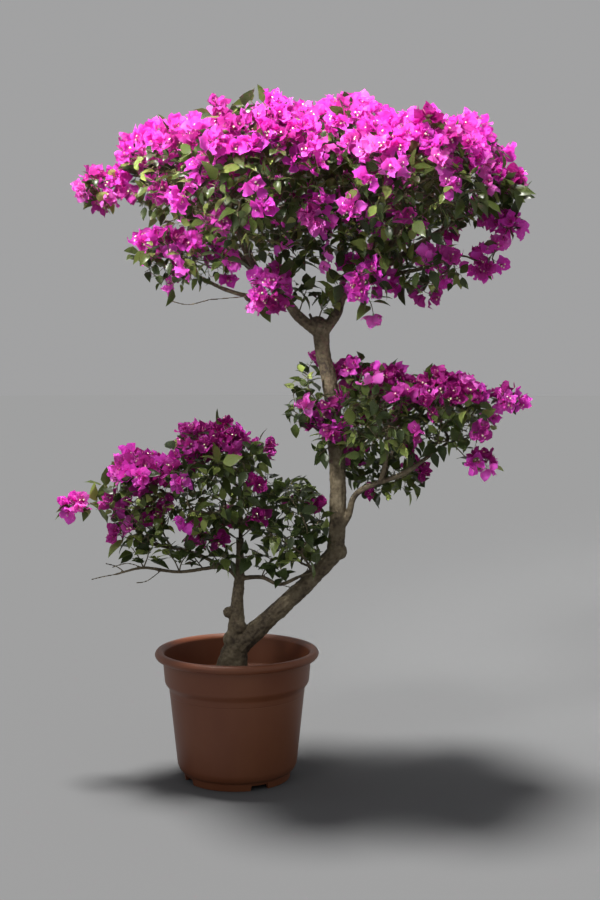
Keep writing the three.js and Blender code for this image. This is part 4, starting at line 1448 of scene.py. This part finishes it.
class Growth:
    """The knots of a mass's twigs. Each knot has a point, a parent and its way from the root."""

    def __init__(self, spaces, mass, root):
        self.spaces = spaces
        self.mass = mass
        point, direction, radius = root
        hub = point + direction * STEM_LENGTH
        self.points = [point, hub]
        self.parents = [-1, 0]
        self.ways = [0, STEM_LENGTH]
        self.radius = radius
        self.tips = []
        self.fine = False

    def twig_fits(self, start, end, clearance):
        """Whether a straight twig keeps to its space and off the limbs."""
        shares = np.arange(1, TWIG_PROBES + 1)[:, None] / TWIG_PROBES
        probes = start + (end - start) * shares
        if self.fine:
            return self.spaces.in_any(probes) and self.spaces.clear(probes, clearance).all()
        return self.spaces.fits(self.mass, probes, clearance)

    def join(self, point, direction, bend, clearance):
        """Joins a point to the knot that is the shortest way off with the least turn."""
        knots = np.array(self.points[1:])
        ways = np.array(self.ways[1:])
        off = point - knots
        reach = np.sqrt((off**2).sum(1))
        turn = 1 - off @ direction / np.maximum(reach, 1e-6)
        cost = reach * (1 + turn * TURN_COST) + ways * WAY_COST
        for i in np.argsort(cost, kind="stable")[:JOIN_TRIES]:
            start = knots[i]
            middle = (start + point) / 2 + bend * reach[i] * TWIG_BEND
            if not self.twig_fits(start, middle, clearance):
                continue
            if not self.twig_fits(middle, point, clearance):
                continue
            self.points += [middle, point]
            self.parents += [i + 1, len(self.points) - 2]
            self.ways += [ways[i] + reach[i] / 2, ways[i] + reach[i]]
            return len(self.points) - 1
        return None


def stem_root(bough, samples):
    """Where a mass's stem begins, its direction and its radius."""
    if bough:
        return samples[bough][-1][0], samples[bough][-1][2], samples[bough][-1][1]
    trunk = samples["trunk_upper"]
    place, radius, _ = min(trunk, key=lambda sample: abs(sample[0][2] - TRUNK_STEM_HEIGHT))
    direction = heading_direction(TRUNK_STEM_HEADING, TRUNK_STEM_CLIMB)
    return place + direction * radius * TRUNK_STEM_DEPTH, direction, TRUNK_STEM_RADIUS


def grow_broad_twigs(growth, sprays, bloom, random):
    """Joins the sprays of the solids. Gives what they bear where, and places for finer twigs."""
    hub = growth.points[1]
    clusters = []
    kinds = []
    targets = []
    for spray in sorted(sprays, key=lambda spray: np.linalg.norm(spray["point"] - hub)):
        clearance = TWIG_TIP_RADIUS * 2 + LIMB_CLEAR
        knot = growth.join(spray["point"], spray["axes"][0], stray(random), clearance)
        if knot is None:
            continue
        clusters.append(spray["point"])
        kinds.append(spray["kind"])
        for tip in spray["rim"][RIM_TIP::RIM_POINTS]:
            inner = spray["point"] + (tip - spray["point"]) * 0.5
            targets.append((inner, unit(tip - spray["point"]), CLUSTER_SPACING, None))
            if spray["kind"] == "leaf" and random() < LONE_BLOOMS * (bloom[0] + bloom[1]):
                clusters.append(inner)
                kinds.append("bloom")
    return np.array(clusters), kinds, targets


def bearing(share, fullness, grain, kind, away, chances):
    """What a fine twig bears, by the nearest broad spray and how far off it is, if it grows."""
    same_kind, kept, bare = chances
    if not kept and away > ALWAYS_KEPT_WITHIN * grain:
        return "bare" if bare and fullness <= BARE_BELOW else None
    gain = (BLOOM_REACH_AT_TOP - BLOOM_REACH_AT_FOOT) * share**BLOOM_REACH_POWER
    bloom_reach = BLOOM_REACH_AT_FOOT + gain
    near_bloom = kind == "bloom" and away < bloom_reach * grain
    return "bloom" if near_bloom and same_kind else "leaf"


def fine_tip_fits(spaces, mass, place, direction):
    """Whether a place is in its mass's space, with room for a head of blooms or leaves."""
    axes = frame_across(direction)
    rise = FINE_LENGTH * FINE_MIDDLE
    probes = [
        around_axis(place, axes, math.tau * k / FINE_PROBES, FINE_BREADTH, rise)
        for k in range(FINE_PROBES)
    ]
    probes = np.array([*probes, place + direction * FINE_LENGTH])
    if not spaces.inside(mass, place[None]).all():
        return False
    return spaces.in_any(probes) and spaces.clear(probes, 0).all()


def choose_fine_tips(growth, row, targets, heights, clusters, kinds, random):
    """The tips of fine twigs that fit: place, direction and what each bears."""
    _, _, grain, bloom, _ = row
    low, high = heights
    accepted = np.empty((0, 3))
    chosen = []
    for point, outward, gap, lobe_bloom in targets:
        rise = smooth_step((point[2] - low) / (high - low), *FINE_BLOOM_RISE)
        share = bloom_share(bloom, lobe_bloom, rise)
        fullness = rise if lobe_bloom is None else LOBE_FULLNESS
        wander = stray(random)
        same_kind = random() < SAME_KIND_SHARE
        kept = random() < KEPT_AT_FOOT + (KEPT_AT_TOP - KEPT_AT_FOOT) * fullness
        bare = random() < BARE_SHARE
        place = point + wander * gap * FINE_STRAY
        away = np.sqrt(((clusters - place) ** 2).sum(1))
        nearest = int(np.argmin(away))
        chances = (same_kind, kept, bare)
        kind = bearing(share, fullness, grain, kinds[nearest], away[nearest], chances)
        if kind is None or (((accepted - place) ** 2).sum(1) < gap * gap).any():
            continue
        direction = unit(outward + np.array([0, 0, LIFT]) + wander * FINE_TURN_STRAY)
        if fine_tip_fits(growth.spaces, growth.mass, place, direction):
            accepted = np.vstack([accepted, place])
            chosen.append((place, direction, kind))
    return chosen


def grow_mass(spaces, samples, mass, row):
    """Grows the twigs of the solids, then the finer twigs and their single tips."""
    bough, seed, grain, bloom, lobes = row
    random = seeded_numbers(seed)
    growth = Growth(spaces, mass, stem_root(bough, samples))
    hub = growth.points[1]
    sprays, heights = place_sprays(spaces, mass, row, random)
    clusters, kinds, targets = grow_broad_twigs(growth, sprays, bloom, random)

    def spacing_of(radii):
        steady, grown = FINE_GRAIN_SHARES
        return min(FINE_SPACING * (steady + grown * grain), min(radii) * FINE_TIP_SPACING)

    targets += shell_targets(lobes, FINE_SHELLS, FINE_REACH, spacing_of, FINE_PLACE_AREA, random)
    tips = choose_fine_tips(growth, row, targets, heights, clusters, kinds, random)
    growth.fine = True
    for place, direction, kind in sorted(tips, key=lambda tip: np.linalg.norm(tip[0] - hub)):
        knot = growth.join(place, direction, stray(random) * FINE_BEND, FINE_LIMB_CLEAR)
        if knot is not None:
            growth.tips.append((knot, direction, kind))
    return growth


def twig_radii(growth):
    """The radius of each twig by the tips that it carries, and how many it carries."""
    loads = np.zeros(len(growth.points))
    for knot, _, _ in growth.tips:
        while knot >= 0:
            loads[knot] += 1
            knot = growth.parents[knot]
    radii = FINE_TIP_RADIUS * np.maximum(loads, 1) ** FINE_POWER
    return np.minimum(radii, growth.radius), loads


# Shapes of twigs, leaves and blossom.


def blade_template(rows, cup, arch, curl, ruffle):
    """A leaf-like blade of a few faces. Rows are shares of its length and of its half width."""
    points = [(0, 0, 0)]
    for i, (along, half_width) in enumerate(rows):
        for side in (1, 0, -1):
            rise = cup * half_width * side * side + arch * math.sin(along * math.pi)
            wave = ruffle * side * (-1) ** i
            wave += EDGE_RUFFLE * ruffle * side * side * (-1) ** (i // 2)
            points.append((along, half_width * side, rise + wave + curl * along**3))
    points.append((1, 0, curl))
    faces = [(0, 3, 2), (0, 2, 1)]
    for i in range(len(rows) - 1):
        left, middle, right = 1 + i * 3, 2 + i * 3, 3 + i * 3
        faces += [(right, right + 3, middle + 3), (right, middle + 3, middle)]
        faces += [(middle, middle + 3, left + 3), (middle, left + 3, left)]
    left, middle, right = len(points) - 4, len(points) - 3, len(points) - 2
    tip = len(points) - 1
    faces += [(right, tip, middle), (middle, tip, left)]
    return np.array(points, dtype=float), np.array(faces)


class Blades:
    """Many copies of a few forms of blade, gathered and then written into joined meshes."""

    def __init__(self, rows, forms):
        made = [blade_template(rows, *form) for form in forms]
        self.templates = np.array([points for points, _ in made])
        self.faces = made[0][1]
        self.forms = []
        self.origins = []
        self.axes = []
        self.sizes = []
        self.tints = []

    def add(self, origin, along, facing, length, width, tint, form):
        """Adds a blade that starts at origin, points along and faces the way given."""
        sideways = unit(np.cross(facing, along))
        normal = np.cross(along, sideways)
        self.forms.append(form)
        self.origins.append(origin)
        self.axes.append((along, sideways, normal))
        self.sizes.append((length, width / 2, width / 2))
        self.tints.append(tint)

    def arrays(self):
        """All points, triangles and tints of the blades."""
        origins = np.array(self.origins)
        axes = np.array(self.axes)
        sizes = np.array(self.sizes)
        scaled = self.templates[self.forms] * sizes[:, None, :]
        points = np.einsum("nvk,nkx->nvx", scaled, axes) + origins[:, None, :]
        offsets = (np.arange(len(origins)) * points.shape[1])[:, None, None]
        triangles = self.faces[None] + offsets
        tints = np.repeat(np.array(self.tints), len(self.faces))
        return points.reshape(-1, 3), triangles.reshape(-1, 3), tints


class Tubes:
    """Many thin tubes, gathered and then written into joined meshes."""

    def __init__(self):
        self.points = []
        self.triangles = []
        self.tints = []
        self.count = 0

    def add(self, path, radii, tint):
        """Adds a three-sided tube along a path, closed at both ends."""
        sides = TWIG_SIDES
        steps = np.diff(path, axis=0)
        directions = np.vstack([steps, steps[-1:]])
        directions[1:-1] = steps[1:] + steps[:-1]
        directions /= np.linalg.norm(directions, axis=1)[:, None]
        side = frame_across(directions[0])[1]
        angles = np.arange(sides) * math.tau / sides
        rings = []
        for place, direction, radius in zip(path, directions, radii):
            side = unit(side - direction * (side @ direction))
            other = np.cross(direction, side)
            circle = np.outer(np.cos(angles), side) + np.outer(np.sin(angles), other)
            rings.append(place + circle * radius)
        self.points.append(np.concatenate(rings))
        faces = []
        for i in range(len(path) - 1):
            for k in range(sides):
                a = i * sides + k
                b = i * sides + (k + 1) % sides
                faces += [(a, b, b + sides), (a, b + sides, a + sides)]
        end = (len(path) - 1) * sides
        faces.append((0, 2, 1))
        faces.append((end, end + 1, end + 2))
        self.triangles.append(np.array(faces) + self.count)
        self.tints.append(np.full(len(faces), tint))
        self.count += len(path) * sides

    def arrays(self):
        """All points, triangles and tints of the tubes."""
        return (
            np.concatenate(self.points),
            np.concatenate(self.triangles),
            np.concatenate(self.tints),
        )


class Stars:
    """Many small five-pointed flower faces."""

    def __init__(self):
        self.points = []
        self.count = 0

    def add(self, centre, direction, radius):
        """Adds a star that faces along the direction."""
        _, side, other = frame_across(direction)
        corners = np.arange(STAR_CORNERS)
        angles = corners * math.tau / STAR_CORNERS
        reach = np.where(corners % 2 == 0, radius, radius * STAR_VALLEY)[:, None]
        ring = np.outer(np.cos(angles), side) + np.outer(np.sin(angles), other)
        heart = centre - direction * radius * STAR_DEPTH
        self.points.append(np.vstack([heart, centre + ring * reach]))
        self.count += 1

    def arrays(self):
        """All points, triangles and tints of the stars."""
        faces = np.array([(0, 1 + k, 1 + (k + 1) % STAR_CORNERS) for k in range(STAR_CORNERS)])
        offsets = (np.arange(self.count) * (STAR_CORNERS + 1))[:, None, None]
        triangles = (faces[None] + offsets).reshape(-1, 3)
        return np.concatenate(self.points), triangles, np.zeros(len(triangles))


def write_pieces(name, arrays, materials, nodes):
    """Writes arrays into as many joined meshes as keep each under the limit of faces."""
    points, triangles, tints = arrays
    pieces = max(1, math.ceil(len(triangles) / PIECE_FACES))
    size = math.ceil(len(triangles) / pieces)
    for i in range(pieces):
        part = slice(i * size, (i + 1) * size)
        used, local = np.unique(triangles[part], return_inverse=True)
        piece = name if pieces == 1 else f"{name}_{i + 1}"
        obj = mesh_from_arrays(piece, points[used], local.reshape(-1, 3), materials, tints[part])
        named(obj, piece, "foliage", *nodes)


class Foliage:
    """Gathers the twigs, leaves and blossom of all masses."""

    def __init__(self, sizes):
        self.bract_size = (sizes.bract_length / MM, sizes.bract_width / MM)
        self.leaf_size = (sizes.leaf_length / MM, sizes.leaf_width / MM)
        self.tube_length = sizes.tube_length / MM
        self.bracts = Blades(BRACT_ROWS, BRACT_FORMS)
        self.leaves = Blades(LEAF_ROWS, LEAF_FORMS)
        self.twigs = Tubes()
        self.tubes = Tubes()
        self.stars = Stars()

    def bloom(self, point, direction, random, tint, scale):
        """One bloom: three cupped bracts round three slender tubes, some of them open."""
        axes = frame_across(direction)
        roll = random.uniform(0, math.tau)
        open_angle = math.radians(random.uniform(*BLOOM_OPENING))
        length, width = self.bract_size
        for i in range(BLOOM_PIECES):
            form = random.integers(len(BRACT_FORMS))
            turn = random.uniform(-BRACT_TURN_STRAY, BRACT_TURN_STRAY)
            out = across(axes, roll + math.tau * i / BLOOM_PIECES + turn)
            lean = math.radians(random.uniform(-BRACT_TILT_STRAY, BRACT_TILT_STRAY))
            tilt = open_angle + lean
            along = unit(direction * math.cos(tilt) + out * math.sin(tilt))
            facing = unit(direction * math.sin(tilt) - out * math.cos(tilt))
            size = scale * random.uniform(*BRACT_SIZES)
            broad = width * size * random.uniform(*BRACT_BREADTHS)
            seat = point + out * BRACT_SEAT
            self.bracts.add(seat, along, facing, length * size, broad, tint, form)
        for i in range(BLOOM_PIECES):
            out = across(axes, roll + math.tau * (i + 0.5) / BLOOM_PIECES)
            lean = unit(direction + out * TUBE_LEAN)
            reach = self.tube_length * scale * random.uniform(*TUBE_LENGTHS)
            end = point + lean * reach
            self.tubes.add(np.array([point, end]), np.array(TUBE_RADII) * scale, 0)
            if random.uniform() < OPEN_FLOWERS:
                self.stars.add(end + lean * STAR_LIFT, lean, STAR_RADIUS * scale)

    def leaf(self, point, direction, out, random, tint, scale):
        """One leaf on a short stalk, leaning out from the twig and drooping a little."""
        droop = np.array([0, 0, LEAF_DROOP])
        along = unit(direction * random.uniform(*LEAF_FORWARD) + out + droop)
        upward = np.array([0, 0, 1.0]) + direction * LEAF_FACE_FORWARD
        facing = unit(upward + random.normal(0, LEAF_FACE_STRAY, 3))
        if abs(facing @ along) > LEAF_EDGE_ON:
            facing = unit(facing + direction)
        length, width = self.leaf_size
        size = scale * random.triangular(*LEAF_SIZES)
        stalk = point + along * STALK_LENGTH * size
        self.twigs.add(np.array([point, stalk]), STALK_RADII, 1)
        form = random.integers(len(LEAF_FORMS))
        self.leaves.add(stalk, along, facing, length * size, width * size, tint, form)

    def leaf_spray(self, point, direction, random, count, scale):
        """Leaves up the end of a twig, each a part turn on from the last."""
        axes = frame_across(direction)
        roll = random.uniform(0, math.tau)
        tint = random.choice(len(LEAF_TINTS), p=LEAF_SHARES)
        for i in range(count):
            out = across(axes, roll + math.radians(LEAF_STEP_DEGREES) * i)
            back = point - direction * LEAF_STEP * (count - 1 - i)
            self.leaf(back, direction, out, random, tint, scale)

    def bloom_head(self, point, direction, random, scale):
        """A few blooms of one tint on short stalks, often with a pair of leaves below them."""
        axes = frame_across(direction)
        # Blossom under the crown takes the darker tints: painted shade of the crown.
        first, last = CROWN_SHADE_REACH
        in_crown_shade = point[2] < CROWN_SHADE_BELOW and first < point[0] < last
        shares = CROWN_SHADE_SHARES if in_crown_shade else BRACT_SHARES
        tint = random.choice(len(BRACT_TINTS), p=shares)
        count = random.integers(*HEAD_BLOOMS)
        turn = random.uniform(0, math.tau)
        for i in range(count):
            out = across(axes, turn + math.tau * i / count)
            lean = unit(direction + out * random.uniform(*HEAD_LEAN))
            start = point - direction * HEAD_BACK
            heart = start + lean * random.uniform(*HEAD_REACH)
            self.twigs.add(np.array([start, heart]), HEAD_RADII, 1)
            self.bloom(heart, lean, random, tint, scale * HEAD_BLOOM_SCALE)
        if random.uniform() < HEAD_LEAVES_SHARE:
            back = point - direction * HEAD_LEAVES_BACK
            self.leaf_spray(back, direction, random, LEAF_PAIR, scale)

    def tip(self, point, direction, kind, random, grain):
        """The end of a fine twig: a head of blooms, a spray of leaves or a few small leaves."""
        steady, grown = TIP_GRAIN_SHARES
        scale = steady + grown * grain
        if kind == "bare":
            count = random.integers(*BARE_TIP_LEAVES)
            self.leaf_spray(point, direction, random, count, scale * BARE_TIP_SCALE)
        elif kind == "leaf":
            self.leaf_spray(point, direction, random, random.integers(*LEAF_TIP_LEAVES), scale)
        else:
            self.bloom_head(point, direction, random, scale)

    def limb_twig(self, spots, kind, random):
        """A twig that leaves a limb by itself: leaves along it, and its tip in bloom or leaf."""
        points = np.array(spots, dtype=float)
        shares = np.linspace(0, 1, LIMB_TWIG_STEPS * (len(points) - 1) + 1)
        path = np.array([curve_point(points, share) for share in shares])
        first, last = LIMB_TWIG_RADII
        self.twigs.add(path, first + (last - first) * shares, 0)
        for share in LIMB_TWIG_LEAVES_AT:
            place = curve_point(points, share)
            self.leaf_spray(place, curve_direction(points, share), random, LEAF_PAIR, 1)
        self.tip(path[-1], curve_direction(points, 1), kind, random, 1)

    def mass(self, growth, seed, grain):
        """All the twigs of a mass and what grows on them."""
        random = np.random.default_rng(seed)
        radii, loads = twig_radii(growth)
        points = np.array(growth.points)
        parents = growth.parents
        for knot in range(1, len(points)):
            above = parents[knot]
            start = points[above]
            end = points[knot]
            length = np.linalg.norm(end - start)
            if loads[knot] == 0 or length < TWIG_LEAST_LENGTH:
                continue
            inward = unit(end - points[max(parents[above], 0)])
            bow = start + inward * length * 0.5
            middle = (start + end) / 2 * TWIG_STRAIGHT + bow * TWIG_BOW
            path = np.array([start, middle, end])
            begin = min(radii[above], radii[knot] * TWIG_FOOT)
            self.twigs.add(path, [begin, (begin + radii[knot]) / 2, radii[knot]], 0)
            slender = length > LONE_LEAF_TWIG and loads[knot] <= LONE_LEAF_LOAD
            if slender and random.uniform() < LONE_LEAF_SHARE:
                axes = frame_across(unit(end - start))
                out = across(axes, random.uniform(0, math.tau))
                tint = random.choice(len(LEAF_TINTS), p=LEAF_SHARES)
                self.leaf(middle, axes[0], out, random, tint, LONE_LEAF_SCALE)
        for knot, direction, kind in growth.tips:
            self.tip(points[knot], direction, kind, random, grain)


class OBJECT_OT_bougainvillea_foliage(bpy.types.Operator):
    """Grows the twigs, the leaves and the blossom of every mass from its stem"""

    bl_idname = "object.bougainvillea_foliage"
    bl_label = "Foliage and blossom"

    def execute(self, context):
        sizes = context.scene.bougainvillea_foliage
        _, samples = make_limbs()
        spaces = Spaces(samples)
        foliage = Foliage(sizes)
        for i, row in enumerate(MASSES.values()):
            _, seed, grain, _, _ = row
            foliage.mass(grow_mass(spaces, samples, i, row), seed, grain)
        random = np.random.default_rng(LIMB_TWIG_SEED)
        for spots, kind in LIMB_TWIGS:
            foliage.limb_twig(spots, kind, random)
        bract_materials = []
        more_red, less_green, less_blue = BRACT_GLOW
        for name, brightness, green_shift, blue_share in BRACT_TINTS:
            colour = tinted(sizes.bract_colour, brightness, green_shift, blue_share)
            red, green, blue, _ = colour
            glow = (min(1, red * more_red), green * less_green, blue * less_blue, 1)
            bract_materials.append(
                leaf_like_material(name, colour, roughness=0.62, through=0.46, glow=glow)
            )
        leaf_materials = []
        for name, colour in LEAF_TINTS:
            glow = tinted(colour, LEAF_GLOW)
            leaf_materials.append(
                leaf_like_material(name, colour, roughness=0.30, through=0.24, glow=glow)
            )
        twig = new_material("twig_bark", sizes.twig_colour, roughness=0.75)[0]
        stalk = new_material("green_stalk", STALK_COLOUR, roughness=0.6)[0]
        tube = new_material("flower_tube", TUBE_COLOUR, roughness=0.6)[0]
        cream = new_material("flower_face", FLOWER_COLOUR, roughness=0.6)[0]
        nodes = list(MASSES)
        write_pieces("bracts", foliage.bracts.arrays(), bract_materials, nodes)
        write_pieces("leaves", foliage.leaves.arrays(), leaf_materials, nodes)
        write_pieces("twigs", foliage.twigs.arrays(), [twig, stalk], nodes)
        write_pieces("flower_tubes", foliage.tubes.arrays(), [tube], nodes)
        write_pieces("flower_faces", foliage.stars.arrays(), [cream], nodes)
        return {"FINISHED"}


# Stage.


def add_area_light(name, place, target, size, power, colour, spread=180):
    """A soft square light that points at a target; its spread is in degrees."""
    data = bpy.data.lights.new(name, "AREA")
    data.spread = math.radians(spread)
    data.shape = "SQUARE"
    data.size = size
    data.energy = power
    data.color = colour
    light = bpy.data.objects.new(name, data)
    light.location = place
    aim = Vector(target) - Vector(place)
    light.rotation_euler = aim.to_track_quat("-Z", "Y").to_euler()
    bpy.context.scene.collection.objects.link(light)


class OBJECT_OT_bougainvillea_stage(bpy.types.Operator):
    """Sets the pale floor, the soft lights and the camera"""

    bl_idname = "object.bougainvillea_stage"
    bl_label = "Stage"

    def execute(self, context):
        sizes = context.scene.bougainvillea_stage
        bpy.ops.object.select_all(action="DESELECT")
        bpy.ops.mesh.primitive_circle_add(
            vertices=FLOOR_SIDES, radius=FLOOR_RADIUS, fill_type="NGON"
        )
        floor = context.object
        floor.name = "floor"
        colour = (sizes.floor * FLOOR_RED, sizes.floor, sizes.floor * FLOOR_BLUE, 1)
        material, shader, _, _ = new_material("floor", colour, roughness=0.9)
        shader.inputs["Specular IOR Level"].default_value = 0
        floor.data.materials.append(material)
        world = bpy.data.worlds.new("studio")
        world.use_nodes = True
        background = world.node_tree.nodes["Background"]
        background.inputs["Color"].default_value = SKY_COLOUR
        background.inputs["Strength"].default_value = sizes.sky
        context.scene.world = world
        context.scene.view_settings.view_transform = "Standard"
        key = bpy.data.lights.new("overhead", "SUN")
        key.energy = sizes.key_power
        key.angle = math.radians(OVERHEAD_ANGLE)
        key.color = OVERHEAD_COLOUR
        light = bpy.data.objects.new("overhead", key)
        light.rotation_euler = (*(math.radians(turn) for turn in OVERHEAD_TURN), 0)
        context.scene.collection.objects.link(light)
        add_area_light(
            "front", FRONT_PLACE, TREE_CENTRE, size=2.2, power=sizes.fill_power,
            colour=FRONT_COLOUR,
        )
        add_area_light(
            "crown", CROWN_LIGHT_PLACE, CROWN_CENTRE, size=0.9, power=sizes.crown_power,
            colour=CROWN_LIGHT_COLOUR, spread=32,
        )
        data = bpy.data.cameras.new("camera")
        data.lens = sizes.lens
        data.sensor_width = SENSOR_WIDTH
        camera = bpy.data.objects.new("camera", data)
        camera.location = CAMERA_PLACE
        camera.rotation_euler = (math.radians(90 - CAMERA_DIP), 0, 0)
        context.scene.collection.objects.link(camera)
        context.scene.camera = camera
        return {"FINISHED"}


class VIEW3D_PT_bougainvillea(bpy.types.Panel):
    """Lists what the add-on builds"""

    bl_idname = "VIEW3D_PT_bougainvillea"
    bl_label = "Bougainvillea"
    bl_space_type = "VIEW_3D"
    bl_region_type = "UI"
    bl_category = "Bougainvillea"

    def draw(self, context):
        for operator in OPERATORS:
            self.layout.operator(operator.bl_idname)


OPERATORS = (
    OBJECT_OT_bougainvillea_stage,
    OBJECT_OT_bougainvillea_pot,
    OBJECT_OT_bougainvillea_soil,
    OBJECT_OT_bougainvillea_bark,
    OBJECT_OT_bougainvillea_foliage,
)
GROUPS = {
    "bougainvillea_pot": PotSizes,
    "bougainvillea_soil": SoilSizes,
    "bougainvillea_bark": BarkSizes,
    "bougainvillea_foliage": FoliageSizes,
    "bougainvillea_stage": StageSizes,
}


def register():
    """Registers the sizes, the operators and the panel."""
    for name, group in GROUPS.items():
        bpy.utils.register_class(group)
        setattr(bpy.types.Scene, name, bpy.props.PointerProperty(type=group))
    for operator in OPERATORS:
        bpy.utils.register_class(operator)
    bpy.utils.register_class(VIEW3D_PT_bougainvillea)


def unregister():
    """Takes back what register did."""
    bpy.utils.unregister_class(VIEW3D_PT_bougainvillea)
    for operator in reversed(OPERATORS):
        bpy.utils.unregister_class(operator)
    for name, group in reversed(list(GROUPS.items())):
        delattr(bpy.types.Scene, name)
        bpy.utils.unregister_class(group)


def main():
    """Builds everything in order."""
    register()
    bpy.ops.object.bougainvillea_stage()
    bpy.ops.object.bougainvillea_pot()
    bpy.ops.object.bougainvillea_soil()
    bpy.ops.object.bougainvillea_bark()
    bpy.ops.object.bougainvillea_foliage()


if __name__ == "__main__":
    main()
